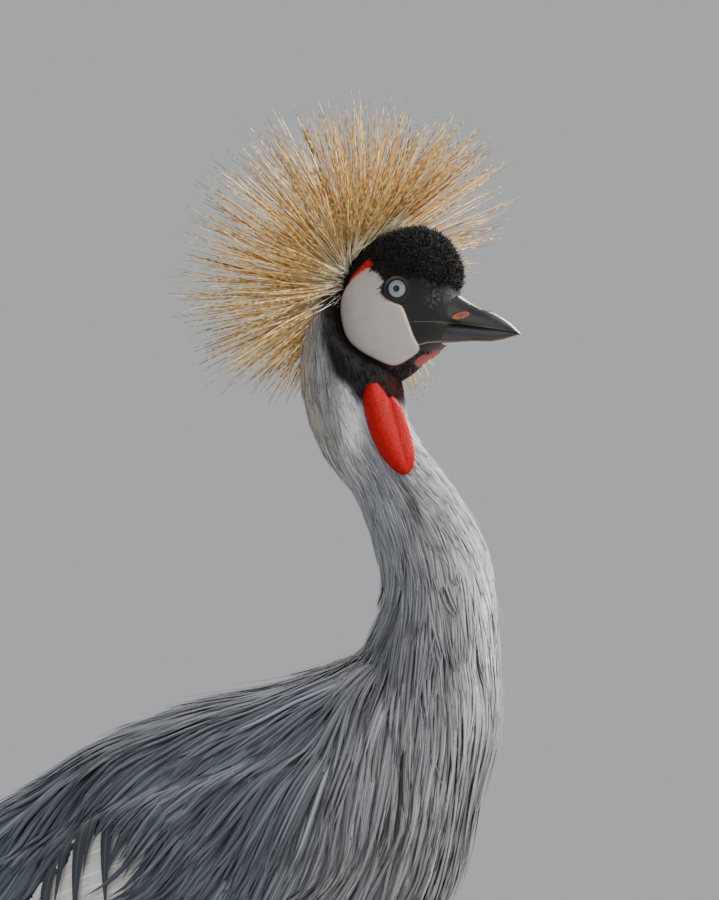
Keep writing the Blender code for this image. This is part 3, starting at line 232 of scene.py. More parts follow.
# Rows of wing feathers: kind, first and last place of the roots along the wing, rows, feathers a
# row, lowest and highest place up the wing, reach, half width, lift, shape and colour.
WING_TIERS = (
    ("black", 5.4, 5.6, 2, 5, -0.7, 0.1, 3.25, 7.5, 0.6, "vane", (0.012, 0.012, 0.014)),
    ("chestnut", 4.8, 5.4, 3, 5, -0.75, 0.3, 2.55, 8.5, 1.6, "vane", (0.13, 0.045, 0.018)),
    ("gold", 4.2, 5.1, 5, 7, -0.85, -0.1, 2.2, 2.6, 3, "lance", (0.62, 0.46, 0.20)),
    ("white", 2.3, 4.3, 10, 10, -0.92, 0.78, 0.95, 8.5, 1, "vane", (0.72, 0.71, 0.69)),
)
TAIL_VANES = 12
TAIL_LENGTH = 142
TAIL_SPREAD_DEG = 9
TAIL_DROOP_DEG = 25

# How many roots are sown for each coat before the bare places are cleared.
COAT_ROOTS = 23000
WISP_ROOTS = 3500
BRISTLE_ROOTS = 16000
CAP_TUFTS = 9500
CAP_TUFT_LENGTH = 2.9
COAT_PIECE_TRIANGLES = 190000
BAKE_PATCH = 0.003
RUN_PITCH = 0.01
# Panels of the unrolled skin: left, width, bottom and height of trunk, neck and thighs.
SKIN_PANELS = table(
    (0.03, 0.55, 0.03, 0.94), (0.65, 0.30, 0.33, 0.64), (0.65, 0.12, 0.03, 0.24), (0.83, 0.12, 0.03, 0.24),
)
# Half width of a feather along it, as parts of its length and of its full width.
PROFILES = {
    "lance": ((0, 0.15, 0.45, 0.72, 0.9, 1), (0.5, 0.85, 1, 0.82, 0.42, 0.04)),
    "vane": ((0, 0.2, 0.6, 0.85, 0.95, 1), (0.4, 0.9, 1, 0.88, 0.55, 0.08)),
    "hair": ((0, 0.3, 0.75, 1), (0.9, 1, 0.7, 0.08)),
    "blade": ((0, 0.2, 0.45, 0.8, 1), (0.1, 0.9, 1, 0.35, 0.03)),
    "spine": ((0, 0.5, 0.85, 1), (1.1, 1, 0.72, 0.25)),
}

GREY_NECK = np.array((0.30, 0.31, 0.335))
# Painted light: the sunlit colour laid on the lit front of the neck.
SUNLIT = np.array((0.64, 0.64, 0.65))
TAN_NAPE = np.array((0.46, 0.38, 0.27))
SLATE = np.array((0.082, 0.094, 0.118))
BREAST_GREY = np.array((0.155, 0.163, 0.182))
THROAT_RED = np.array((0.045, 0.004, 0.003))
CHARCOAL = np.array((0.008, 0.0075, 0.0075))
STRAW = np.array((0.49, 0.27, 0.065))
BEIGE = np.array((0.76, 0.66, 0.49))
BROWN_TIP = np.array((0.045, 0.024, 0.010))
FLUFF = (0.82, 0.74, 0.58)
VELVET = (0.013, 0.013, 0.015)
HORN = ((0.006, 0.006, 0.007), (0.022, 0.0225, 0.024))
BACKDROP = (0.62, 0.63, 0.64, 1)
BACKDROP_STRENGTH = 0.72

CAMERA_AZIMUTH_DEG = 10
CAMERA_DISTANCE = 4
PICTURE_HEIGHT = 0.657
PICTURE_CENTRE = (-4, 0, 843)
# The picture's column and row where the eyes' middle lies, and millimetres a pixel.
EYES_COLUMN = 365
EYES_ROW = 290
PICTURE_SCALE = 0.73
# The wattle's lobes: column and row in the picture, half width and half thickness.
WATTLE_NEAR = (
    (372, 384, 4, 4), (374, 396, 8.6, 6.5), (378.5, 414, 10, 7.5), (385, 433, 10.6, 8),
    (393.5, 452, 9.6, 7.5), (401, 466, 6.6, 5.5), (405.5, 474, 2.4, 2.4),
)
WATTLE_FAR = (
    (388, 398, 3.2, 4), (392.5, 408, 6, 6), (396.5, 424, 7.6, 7), (400.5, 440, 8, 7.2), (404, 456, 7.6, 7),
    (405.5, 467, 5.4, 5), (406, 473, 2.6, 2.6),
)
# Lamps: place from the bird, width, power and colour.
LAMPS = {
    "key": ((1.7, -0.3, 1.3), 0.6, 84, (1, 0.95, 0.87)),
    "rim": ((0.7, 1.5, 1.2), 0.8, 56, (1, 0.96, 0.9)),
    "fill": ((-1.6, -2.2, 0.6), 2.6, 20, (0.9, 0.95, 1)),
    "back": ((-0.9, 1.2, 1.7), 0.9, 36, (1, 0.96, 0.9)),
}


def eye_middle():
    """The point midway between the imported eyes."""
    corners = [Vector(corner) for word in ("right", "left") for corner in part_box("eye_" + word)]
    return sum(corners, Vector()) / len(corners)


SHIFT = np.array(eye_middle()) - EYES * MM


def in_frame(points):
    """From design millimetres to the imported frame's metres."""
    return np.asarray(points, float) * MM + SHIFT


def head_points(points):
    """From the head's own frame to the design frame."""
    return np.asarray(points, float) @ HEAD_TURN.T + EYES


def to_head(points):
    """From the design frame to the head's own frame."""
    return (np.asarray(points, float) - EYES) @ HEAD_TURN


def unit(vectors):
    """Vectors at unit length."""
    return vectors / np.maximum(np.linalg.norm(vectors, axis=-1, keepdims=True), 1e-9)


def ease(values, low, high):
    """A smooth step from 0 at low to 1 at high; high may be the smaller."""
    part = np.clip((values - low) / (high - low), 0, 1)
    return part * part * (3 - 2 * part)


def hump(*offsets):
    """1 where all offsets are 0, falling off smoothly."""
    return np.exp(-sum(off ** 2 for off in offsets))


def blend(first, second, part):
    """Colours mixed by one part each."""
    part = part[:, None]
    return first * (1 - part) + second * part


def read_off(rows, values, *columns, key=0, outside=None):
    """Columns of a table read off at values of its key column."""
    rows = rows[np.argsort(rows[:, key])]
    found = [np.interp(values, rows[:, key], rows[:, k], outside, outside) for k in columns]
    return found if len(found) > 1 else found[0]


def smooth_rows(rows, per_span, closed=False):
    """Rows of numbers made finer by a smooth curve through them."""
    rows = np.asarray(rows, float)
    count = len(rows)
    fine = []
    for span in range(count if closed else count - 1):
        picks = np.arange(span - 1, span + 3)
        a, b, c, d = rows[picks % count if closed else np.clip(picks, 0, count - 1)]
        for step in range(per_span):
            t = step / per_span
            bend = (2 * a - 5 * b + 4 * c - d) * t * t + (3 * b - a - 3 * c + d) * t ** 3
            fine.append(0.5 * (2 * b + (c - a) * t + bend))
    if not closed:
        fine.append(rows[-1])
    return np.array(fine)


def run_at(spots, k):
    """The way a line of points runs at one of them."""
    return unit(spots[min(k + 1, len(spots) - 1)] - spots[max(k - 1, 0)])


def ripple(points, size, phase=0):
    """A smooth wandering number from -1 to 1 over places."""
    x, y, z = (points / size).T
    first = np.sin(x * 1.7 + y * 0.9 + phase) * np.cos(z * 1.3 - y * 1.1 + phase * 2)
    second = np.sin(z * 2.3 + x * 0.7 - phase) * np.cos(y * 2.1 + x * 1.9 + phase)
    return 0.55 * first + 0.45 * second


# Meshes


def linked(name, data):
    """A new object in the scene."""
    made = bpy.data.objects.new(name, data)
    bpy.context.scene.collection.objects.link(made)
    return made


def enter(name, mesh, material):
    """A mesh as a named piece, riding on the body."""
    mesh.materials.append(material)
    made = linked(name, mesh)
    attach(made, "root")
    return made


def store(mesh, name, values):
    """Keep one number or one colour a vertex."""
    if values.ndim == 1:
        layer = mesh.attributes.new(name, "FLOAT", "POINT")
        layer.data.foreach_set("value", values.astype(np.float32))
    else:
        layer = mesh.attributes.new(name, "FLOAT_COLOR", "POINT")
        layer.data.foreach_set("color", np.hstack([values, np.ones((len(values), 1))]).ravel())


def store_uv(mesh, name, places):
    """Keep one place a face corner."""
    mesh.uv_layers.new(name=name).data.foreach_set("uv", places.ravel())


def new_mesh(name, points, faces, material, slot, **fields):
    """A piece from design-frame points, with numbers or colours a vertex."""
    mesh = bpy.data.meshes.new(name)
    mesh.from_pydata(in_frame(points).tolist(), [], faces)
    mesh.validate()
    mesh.shade_smooth()
    for label, values in fields.items():
        store(mesh, label, values)
    return enter(name, mesh, material)


def oval(centre, across, up, half, count, squareness=2):
    """A ring of points; half is (across, above, below) or (across, up)."""
    angle = 2 * np.pi * np.arange(count) / count
    side = np.sign(np.cos(angle)) * np.abs(np.cos(angle)) ** (2 / squareness)
    rise = np.sign(np.sin(angle)) * np.abs(np.sin(angle)) ** (2 / squareness)
    reach = np.where(rise > 0, half[1], half[-1])
    return centre + np.outer(side * half[0], across) + np.outer(rise * reach, up)


def loft(rings):
    """Points and faces over rings of equal count, with fans on both ends."""
    rings = np.asarray(rings)
    many, count, _ = rings.shape
    faces = []
    for k in range(many - 1):
        for j in range(count):
            i = (j + 1) % count
            faces.append((k * count + j, k * count + i, (k + 1) * count + i, (k + 1) * count + j))
    start = many * count
    for j in range(count):
        i = (j + 1) % count
        faces += [(i, j, start), (start - count + j, start - count + i, start + 1)]
    return np.vstack([rings.reshape(-1, 3), rings[0].mean(axis=0), rings[-1].mean(axis=0)]), faces


def shell(forms, voxel, rounds):
    """One closed skin over several lofts, as design-frame points and faces."""
    points = np.empty((0, 3))
    faces = []
    for rings in forms:
        more, found = loft(rings)
        faces += [tuple(len(points) + k for k in face) for face in found]
        points = np.vstack([points, more])
    mesh = bpy.data.meshes.new("shell")
    mesh.from_pydata((points * MM).tolist(), [], faces)
    made = linked("shell", mesh)
    remesh = made.modifiers.new("remesh", "REMESH")
    remesh.mode = "VOXEL"
    remesh.voxel_size = voxel * MM
    soften = made.modifiers.new("soften", "SMOOTH")
    soften.factor = 0.5
    soften.iterations = rounds
    result = bpy.data.meshes.new_from_object(made.evaluated_get(bpy.context.evaluated_depsgraph_get()))
    bpy.data.objects.remove(made, do_unlink=True)
    flat = np.empty(len(result.vertices) * 3)
    result.vertices.foreach_get("co", flat)
    faces = [tuple(face.vertices) for face in result.polygons]
    bpy.data.meshes.remove(result)
    return flat.reshape(-1, 3) / MM, faces


def settled(points, faces, weight, rounds):
    """Points drawn toward their neighbours' middle, by weight."""
    ends = np.array([(face[k - 1], face[k]) for face in faces for k in range(len(face))])
    count = np.bincount(ends.ravel(), minlength=len(points))[:, None]
    for _ in range(rounds):
        total = np.zeros_like(points)
        for axis in range(3):
            total[:, axis] = np.bincount(ends[:, 0], points[ends[:, 1], axis], len(points))
            total[:, axis] += np.bincount(ends[:, 1], points[ends[:, 0], axis], len(points))
        points = points + (total / count - points) * (0.6 * weight)[:, None]
    return points


def tree_over(points, faces):
    """A search tree over a shell."""
    return BVHTree.FromPolygons(points.tolist(), faces)


def nearest(tree, points):
    """The nearest surface points and their normals."""
    found = [tree.find_nearest(point)[:2] for point in points.tolist()]
    return np.array([spot for spot, _ in found]), np.array([normal for _, normal in found])


def sampled(points, faces, count, seed, weight=None):
    """Random points spread over a shell, by area times weight."""
    draw = np.random.default_rng(seed)
    quads = np.array([face if len(face) == 4 else face + (face[-1],) for face in faces])
    corners = points[np.vstack([quads[:, (0, 1, 2)], quads[:, (0, 2, 3)]])]
    cross = np.cross(corners[:, 1] - corners[:, 0], corners[:, 2] - corners[:, 0])
    area = np.linalg.norm(cross, axis=1) * 0.5
    if weight is not None:
        area = area * weight(corners.mean(axis=1))
    first, second, third = corners[draw.choice(len(corners), count, p=area / area.sum())].transpose(1, 0, 2)
    a = draw.random(count)
    b = draw.random(count)
    fold = a + b > 1
    a[fold] = 1 - a[fold]
    b[fold] = 1 - b[fold]
    return first + (second - first) * a[:, None] + (third - first) * b[:, None]


def gathered(centres, share, pull, seed):
    """Feathers drawn toward the lines of a few leaders, so that locks form."""
    draw = np.random.default_rng(seed)
    count = len(centres)
    leaders = draw.choice(count, max(1, int(count * share)), replace=False)
    tree = KDTree(len(leaders))
    for k, leader in enumerate(leaders):
        tree.insert(centres[leader, 0], k)
    tree.balance()
    near = np.array([leaders[tree.find(root)[1]] for root in centres[:, 0].tolist()])
    apart = np.linalg.norm(centres[:, 0] - centres[near, 0], axis=1)
    weight = pull * np.linspace(0, 1, centres.shape[1]) ** 1.5
    weight = weight * np.clip(1.6 - apart / LOCK_REACH, 0, 1)[:, None]
    return centres + (centres[near] - centres) * weight[:, :, None]


def strands(name, centres, ups, widths, ridges, tints, spots, material, slot):
    """Feathers as closed three-sided tapered strips, joined in one piece, or in several pieces when there
    are too many for one.

    centres and ups are (feathers, rings, 3); widths and ridges are (feathers, rings);
    tints are (feathers, rings, 3); spots are the roots' places on the unwrapped skin.
    """
    count, rings, _ = centres.shape
    ups = np.broadcast_to(ups, centres.shape)
    most = COAT_PIECE_TRIANGLES // (6 * (rings - 1) + 2)
    if count > most:
        for part, some in enumerate(np.array_split(np.arange(count), math.ceil(count / most)), 1):
            lines = [values[some] for values in (centres, ups, widths, ridges, tints, spots)]
            made = strands(name + "_" + str(part), *lines, material, slot)
        return made
    run = np.gradient(centres, axis=1)
    side = unit(np.cross(run, ups))
    up = unit(np.cross(side, run)) * ridges[..., None]
    side = side * widths[..., None]
    points = in_frame(np.stack([centres - side, centres + up, centres + side], axis=2).reshape(-1, 3))
    near = (np.arange(count)[:, None, None] * rings + np.arange(rings - 1)[:, None]) * 3
    a = near + np.arange(3)
    b = near + (np.arange(3) + 1) % 3
    walls = np.stack([a, b + 3, b, a, a + 3, b + 3], -1).reshape(-1, 3)
    first = (np.arange(count) * rings * 3)[:, None]
    last = first + (rings - 1) * 3
    triangles = np.vstack([walls, first + (0, 1, 2), last + (0, 2, 1)])
    mesh = bpy.data.meshes.new(name)
    mesh.vertices.add(len(points))
    mesh.vertices.foreach_set("co", points.ravel())
    mesh.loops.add(triangles.size)
    mesh.loops.foreach_set("vertex_index", triangles.ravel().astype(np.int32))
    mesh.polygons.add(len(triangles))
    mesh.polygons.foreach_set("loop_start", np.arange(0, triangles.size, 3, dtype=np.int32))
    mesh.polygons.foreach_set("use_smooth", np.ones(len(triangles), dtype=bool))
    mesh.update(calc_edges=True)
    ends = np.empty(len(mesh.edges) * 2, dtype=np.int32)
    mesh.edges.foreach_get("vertices", ends)
    first, last = ends.reshape(-1, 2).T % 3
    rim = (first == last) & (first != 1)
    mesh.attributes.new("sharp_edge", "BOOLEAN", "EDGE").data.foreach_set("value", rim)
    shape = (count, rings, 3)
    across = np.broadcast_to((0, 0.5, 1), shape)
    along = np.broadcast_to(np.linspace(0, 1, rings)[:, None], shape)
    reach = np.broadcast_to((np.linalg.norm(run, axis=2).cumsum(axis=1) * RUN_PITCH)[..., None], shape)
    strand = np.stack([across, along], -1)
    bake = spots[:, None, None, :] + (strand - 0.5) * BAKE_PATCH
    for label, grid in (("OFBake", bake), ("strand", strand), ("run", np.stack([across, reach], -1))):
        store_uv(mesh, label, grid.reshape(-1, 2)[triangles.ravel()])
    store(mesh, "tint", np.broadcast_to(tints[:, :, None, :], shape + (3,)).reshape(-1, 3))
    return enter(name, mesh, material)


# Materials


class Nodes:
    """A short way to write a material's node tree."""

    def __init__(self, name):
        self.material = bpy.data.materials.new(name)
        self.material.use_nodes = True
        self.tree = self.material.node_tree
        self.shader = self.tree.nodes["Principled BSDF"]

    def add(self, kind, **values):
        """A node with its properties and socket values set."""
        node = self.tree.nodes.new(kind)
        for key, value in values.items():
            if key in node.inputs:
                node.inputs[key].default_value = value
            else:
                setattr(node, key, value)
        return node

    def link(self, source, target):
        """Join two sockets."""
        self.tree.links.new(source, target)

    def feed(self, node, **values):
        """Numbers, colours or sockets into a node's numbered inputs."""
        for key, value in values.items():
            socket = node.inputs[int(key[1:])]
            if isinstance(value, (int, float)):
                socket.default_value = value
            elif isinstance(value, tuple):
                socket.default_value = value + (1,)
            else:
                self.link(value, socket)

    def math(self, operation, first, second=0):
        """One Math node on sockets or numbers."""
        node = self.add("ShaderNodeMath", operation=operation)
        self.feed(node, _0=first, _1=second)
        return node.outputs[0]

    def times(self, first, second):
        """A product."""
        return self.math("MULTIPLY", first, second)

    def plus(self, first, second):
        """A sum."""
        return self.math("ADD", first, second)

    def mix(self, part, first, second, blend_type="MIX"):
        """Two colours mixed by a part."""
        node = self.add("ShaderNodeMix", data_type="RGBA", blend_type=blend_type)
        self.feed(node, _0=part, _6=first, _7=second)
        return node.outputs[2]

    def layers(self, colour, grain, *rows):
        """Colours laid over one another: each row is a part and one colour, or two mixed by a grain."""
        for part, first, *second in rows:
            colour = self.mix(part, colour, self.mix(grain, first, *second) if second else first)
        return colour

    def ramp(self, source, *stops):
        """A ramp over stops of place and grey value."""
        node = self.add("ShaderNodeValToRGB")
        while len(node.color_ramp.elements) < len(stops):
            node.color_ramp.elements.new(0.5)
        for element, (place, value) in zip(node.color_ramp.elements, stops):
            element.position = place
            element.color = (value, value, value, 1)
        self.link(source, node.inputs[0])
        return node.outputs[0]

    def field(self, name, output="Fac"):
        """A mesh attribute."""
        return self.add("ShaderNodeAttribute", attribute_name=name).outputs[output]

    def texture(self, kind, **values):
        """A texture over the object's own coordinates."""
        node = self.add(kind, **values)
        self.link(self.add("ShaderNodeTexCoord").outputs["Object"], node.inputs["Vector"])
        return node.outputs

    def noise(self, scale, detail=3):
        """Noise from 0 to 1."""
        return self.texture("ShaderNodeTexNoise", Scale=scale, Detail=detail)["Fac"]

    def cells(self, scale, **values):
        """Distances in a net of cells."""
        return self.texture("ShaderNodeTexVoronoi", Scale=scale, **values)["Distance"]

    def uv(self, name):
        """Across and along of a UV map."""
        split = self.add("ShaderNodeSeparateXYZ")
        self.link(self.add("ShaderNodeUVMap", uv_map=name).outputs[0], split.inputs[0])
        return split.outputs[0], split.outputs[1]

    def waves(self, turn):
        """A number that goes from 0 to 1 and back once a turn."""
        wave = self.math("SINE", self.times(turn, 2 * math.pi))
        return self.times(self.plus(wave, 1), 0.5)

    def bump(self, height, strength, distance):
        """A bump into the shader's normal."""
        node = self.add("ShaderNodeBump", Strength=strength, Distance=distance)
        self.link(height, node.inputs["Height"])
        self.link(node.outputs[0], self.shader.inputs["Normal"])

    def finish(self, colour, **values):
        """The base colour and constant values on the shader."""
        self.feed(self.shader, _0=colour)
        for key, value in values.items():
            label = key.replace("_", " ").title().replace("Ior", "IOR")
            self.shader.inputs[label].default_value = value
        return self.material


def plume_material(name, shaft, streak, roughness, slant=9, barbs=70):
    """Feather vanes: tint by the coat, fine barbs and a shaft line."""
    made = Nodes(name)
    across, along = made.uv("strand")
    off = made.math("ABSOLUTE", made.math("SUBTRACT", across, 0.5))
    fine = made.waves(made.plus(made.times(off, slant), made.times(along, barbs)))
    lines = made.times(made.plus(fine, made.noise(260, 2)), 0.5)
    tint = made.field("tint", "Color")
    barbed = made.mix(lines, made.mix(streak, tint, (0.02, 0.021, 0.026)), tint)
    quill = made.math("MAXIMUM", made.math("SUBTRACT", 1, made.times(off, 12)), 0)
    light = made.mix(shaft, tint, made.mix(1, tint, (2.7, 2.65, 2.55), "MULTIPLY"))
    made.bump(lines, 0.35, 0.0004)
    looks = {"sheen_weight": 0.03, "sheen_roughness": 0.4, "specular_ior_level": 0.22}
    return made.finish(made.mix(quill, barbed, light), roughness=roughness, **looks)


def crest_glint_material():
    """Stiff twisted feathers: straw bands of painted glint and painted shade along each one."""
    made = Nodes("crest_straw_glints")
    turn = made.plus(made.times(made.uv("run")[1], 7), made.times(made.noise(55, 1), 5))
    part = made.ramp(made.waves(turn), (0.45, 0), (0.95, 1))
    tint = made.field("tint", "Color")
    # Painted shade (dark bands) and painted glints (pale bands) stand for the light on each twisted feather.
    dark = made.mix(1, tint, (0.80, 0.76, 0.70), "MULTIPLY")
    pale = made.mix(0.60, tint, (1, 0.79, 0.36))
    made.bump(part, 0.4, 0.0003)
    return made.finish(made.mix(part, dark, pale), roughness=0.38, sheen_weight=0.1)


def tinted_material(name, scale, detail, dark, share, bump, **looks):
    """The tint of the piece with darker spots."""
    made = Nodes(name)
    tint = made.field("tint", "Color")
    spots = made.noise(scale, detail)
    made.bump(spots, *bump)
    return made.finish(made.mix(spots, made.mix(share, tint, dark), tint), **looks)


def velvet_material(name):
    """Dense black down with a faint grey bloom."""
    looks = {"roughness": 0.85, "sheen_weight": 0.18, "sheen_roughness": 0.35, "specular_ior_level": 0.3}
    return tinted_material(name, 900, 2, (0.004, 0.004, 0.005), 0.6, (0.4, 0.0004), **looks)


def skin_material():
    """The skin under the feathers; its darker tint is painted shade between them."""
    return tinted_material("under_skin", 400, 3, (0.02, 0.02, 0.022), 0.5, (0.5, 0.001), roughness=0.9)


def face_material():
    """Bare face: chalky cheek, scarlet patch, leaden lores, dark bristled rest."""
    made = Nodes("face_skin")
    wobble = made.times(made.times(made.math("SUBTRACT", made.noise(700), 0.5), 0.9), 0.02)
    pores = made.cells(900)
    fine = made.noise(520, 4)
    mouth = made.field("mouth")
    gape = made.field("gape")

    def inside(name):
        return made.ramp(made.plus(made.field(name), wobble), (0.492, 0), (0.508, 1))

    def band(source, *stops):
        return made.times(made.ramp(source, *stops), gape)

    flecks = made.ramp(made.noise(330, 5), (0.5, 0), (0.68, 1))
    lead = made.mix(flecks, (0.008, 0.0085, 0.010), (0.085, 0.088, 0.094))
    white = made.mix(made.noise(90, 4), (0.42, 0.39, 0.37), (0.60, 0.57, 0.55))
    rosy = made.times(made.ramp(made.field("cheek"), (0.48, 1), (0.56, 0)), 0.45)
    dull = (made.times(pores, 0.25), (0.36, 0.30, 0.28))
    white = made.layers(white, fine, dull, (rosy, (0.62, 0.30, 0.26)))
    jaw = band(made.field("jaw"), (0.42, 0), (0.46, 0.8), (0.50, 0.8), (0.54, 0))
    rim = band(mouth, (0.50, 0), (0.53, 0.7), (0.58, 0.7), (0.62, 0))
    # Painted shade: a near-black line in the groove between the mandibles.
    slit_shade = band(mouth, (0.42, 0), (0.47, 1), (0.50, 1), (0.52, 0))
    colour = made.layers(
        made.mix(fine, (0.004, 0.004, 0.005), (0.016, 0.016, 0.018)), fine,
        (made.field("lores"), lead),
        (made.field("throat"), (0.03, 0.006, 0.005), (0.16, 0.03, 0.02)),
        (made.field("horn"), *HORN),
        (jaw, (0.16, 0.09, 0.08), (0.40, 0.27, 0.24)),
        (rim, (0.05, 0.042, 0.025), (0.17, 0.145, 0.09)),
        (slit_shade, (0.002, 0.002, 0.002)),
        (inside("gular"), (0.20, 0.003, 0.003), (0.38, 0.014, 0.010)),
        (inside("red"), (0.36, 0.004, 0.003), (0.60, 0.012, 0.008)),
        (inside("cheek"), white),
        (made.field("lid"), (0.03, 0.028, 0.02), (0.14, 0.11, 0.05)),
    )
    relief = made.plus(made.times(pores, 0.5), fine)
    made.bump(made.math("SUBTRACT", relief, made.times(slit_shade, 2.5)), 0.5, 0.0006)
    looks = {"subsurface_weight": 0.03, "subsurface_scale": 0.004, "specular_ior_level": 0.3}
    return made.finish(colour, roughness=0.5, **looks)


def bill_material():
    """Slate horn, paler toward the tip and along the ridge, where part of it is a painted highlight; paler
    edges; a nostril with a painted orange glow and painted shade in its hollow.
    """
    made = Nodes("bill_horn")
    fine = made.noise(420, 5)
    hole = made.field("nostril")
    horn = made.layers(
        made.mix(fine, *HORN), fine,
        (made.ramp(made.noise(60), (0.45, 0), (0.65, 0.5)), (0.042, 0.038, 0.035)),
        # Paler toward the tip on the upper part of each half: a paler tip, and a painted highlight along the
        # top.
        (made.field("tip"), (0.11, 0.108, 0.105)),
        (made.field("edge"), (0.30, 0.22, 0.14), (0.55, 0.46, 0.34)),
        (made.field("pink"), (0.34, 0.19, 0.17), (0.60, 0.42, 0.38)),
        # Painted shade: a near-black rim round the nostril's hollow and a darker deepest part; the orange is
        # a painted glow of light shining through the open nostril.
        (made.ramp(hole, (0.34, 0), (0.46, 0.8), (0.5, 0)), (0.003, 0.003, 0.003)),
        (made.ramp(hole, (0.46, 0), (0.52, 1)), (0.30, 0.055, 0.016), (0.62, 0.17, 0.06)),
        (made.ramp(hole, (0.66, 0), (0.86, 0.8)), (0.12, 0.022, 0.010)),
    )
    made.bump(fine, 0.35, 0.0006)
    return made.finish(horn, roughness=0.28, coat_weight=0.25, coat_roughness=0.2)


def eye_material():
    """Pale blue iris with fine grain, black pupil, dark rim, wet."""
    made = Nodes("eye_wet")
    pupil = PUPIL_RADIUS / EYE_RADIUS
    rim = IRIS_RADIUS / EYE_RADIUS
    stops = ((0, 0), (pupil, 0), (pupil + 0.03, 1), (rim - 0.05, 1), (rim, 0))
    part = made.ramp(made.field("from_axis"), *stops)
    iris = made.mix(made.noise(900, 4), (0.15, 0.205, 0.25), (0.32, 0.385, 0.43))
    colour = made.mix(part, (0.004, 0.004, 0.005), iris)
    return made.finish(colour, roughness=0.3, coat_weight=0.3, coat_roughness=0.02, specular_ior_level=0.2)


def wattle_material():
    """Scarlet bare skin with a fine pebbled grain."""
    made = Nodes("wattle_skin")
    fine = made.noise(300, 4)
    grain = made.plus(made.cells(1100), fine)
    made.bump(made.plus(grain, made.times(made.noise(110, 2), 2)), 0.5, 0.0008)
    red = made.mix(fine, (0.24, 0, 0.0005), (0.46, 0.0005, 0.001))
    looks = {"subsurface_weight": 0.03, "subsurface_scale": 0.002, "specular_ior_level": 0.18}
    return made.finish(red, roughness=0.5, **looks)


def leg_material():
    """Black skin in small scales."""
    made = Nodes("leg_scales")
    edge = made.ramp(made.cells(330, feature="DISTANCE_TO_EDGE"), (0, 0), (0.12, 1))
    made.bump(edge, 0.7, 0.0008)
    return made.finish(made.mix(edge, (0.075, 0.07, 0.065), (0.022, 0.022, 0.023)), roughness=0.5)


def claw_material():
    """Dark horn with a faint grain."""
    made = Nodes("claw_horn")
    fine = made.noise(300, 4)
    made.bump(fine, 0.2, 0.0004)
    return made.finish(made.mix(fine, (0.012, 0.011, 0.010), (0.06, 0.052, 0.045)), roughness=0.3)


# Forms


def spine_form(stations, count, across_of, half_of):
    """Rings across a line in the middle plane, through rows that start with forward and height."""
    rows = smooth_rows(stations, 4)
    spine = np.insert(rows[:, :2], 1, 0, axis=1)
    rings = []
    for k, row in enumerate(rows):
        rings.append(oval(spine[k], *across_of(run_at(spine, k)), half_of(*row[1:]), count))
    return rings


def neck_form():
    """The neck's rings, smaller by the coat's depth."""
    def half_of(height, deep, wide):
        cut = 1.2 + 4 * ease(height, 860, 700)
        return deep - cut, wide - cut

    return spine_form(NECK_STATIONS, 64, lambda run: (np.cross(Y_AXIS, run), Y_AXIS), half_of)


def tail_form(cut):
    """The tail's fleshy base."""
    def half_of(_, thick, wide):
        return np.maximum((wide - cut, thick - cut), 1.5)

    return spine_form(TAIL_STATIONS, 40, lambda run: (Y_AXIS, np.cross(run, Y_AXIS)), half_of)


def wing_axes(side):
    """Up and outward of the leaning folded wing."""
    lean = math.radians(WING_LEAN_DEG) * side
    out = np.array((0, math.cos(lean), math.sin(lean))) * side
    return np.array((0, -math.sin(lean), math.cos(lean))), out


def wing_form(side, cut):
    """The fleshy wing's rings."""
    up, out = wing_axes(side)
    rings = []
    for forward, height, tall, thick, far in smooth_rows(WING_STATIONS[:WING_BASE], 4):
        half = np.maximum((thick - cut, tall - cut), 1.5)
        rings.append(oval(np.array((forward, side * far, height)), out, up, half, 48))
    return rings


def limb_form(rows, count=36, per_span=4):
    """A limb's rings through rows of forward, aside, height, half deep and half wide."""
    return [oval(row[:3], X_AXIS, Y_AXIS, row[3:], count) for row in smooth_rows(rows, per_span)]


def thigh_rows(side, cut):
    """The feathered upper leg."""
    forward, out, height, deep, wide, share = THIGH_ROWS.T
    half = (deep - cut * share, wide - cut * share)
    return np.stack([HIP_FORWARD + forward, side * (LEG_SPACING + out), height, *half], -1)


def head_form(cut, count=96):
    """The head's level rings in the design frame."""
    angle = 2 * np.pi * np.arange(count) / count
    turn = np.cos(angle)
    rings = []
    for height, back, front, wide in smooth_rows(HEAD_SLICES, 5):
        reach = np.where(turn > 0, front - HEAD_WIDEST, HEAD_WIDEST - back) - cut
        across = (wide - cut) * np.sin(angle)
        rings.append(head_points(np.stack([HEAD_WIDEST + reach * turn, across, np.full(count, height)], -1)))
    return rings


def slices_form(slices, per_span, count, squareness, widest, cut=0, least=0.2):
    """Upright rings through slices of forward, low, high and half width."""
    rings = []
    for forward, low, high, wide in smooth_rows(slices, per_span):
        middle = low + (high - low) * widest
        half = np.maximum((wide - cut, high - middle - cut, middle - low - cut), least)
        centre = np.array((forward - cut if forward > 0 else forward, 0, middle))
        rings.append(oval(centre, Y_AXIS, Z_AXIS, half, count, squareness))
    return np.array(rings)


def eye_place(side):
    """The middle of an eye and the way it looks, in the design frame."""
    tilt = math.radians(EYE_TILT_DEG)
    return head_points((0, side * EYE_ACROSS, 0)), HEAD_TURN @ (math.sin(tilt), side * math.cos(tilt), 0)


def round_eye(points, side):
    """How far places stand off an eye's axis, and how far along it."""
    centre, axis = eye_place(side)
    along = (points - centre) @ axis
    return np.linalg.norm(points - centre - np.outer(along, axis), axis=1), along


def lid_form(side):
    """The lids' rim round one eye, as rings of a closed tube."""
    axis = eye_place(side)[1]
    right = unit(np.cross(Z_AXIS, axis))
    centre = head_points((0.6, side * LID_ACROSS, 0))
    rings = []
    for angle in np.linspace(0, 2 * np.pi, 49):
        out = right * math.cos(angle) + Z_AXIS * math.sin(angle)
        size = LID_THICKNESS * (1 + 0.25 * math.sin(angle))
        rings.append(oval(centre + out * LID_RADIUS, out, axis, (size, size), 12))
    return rings


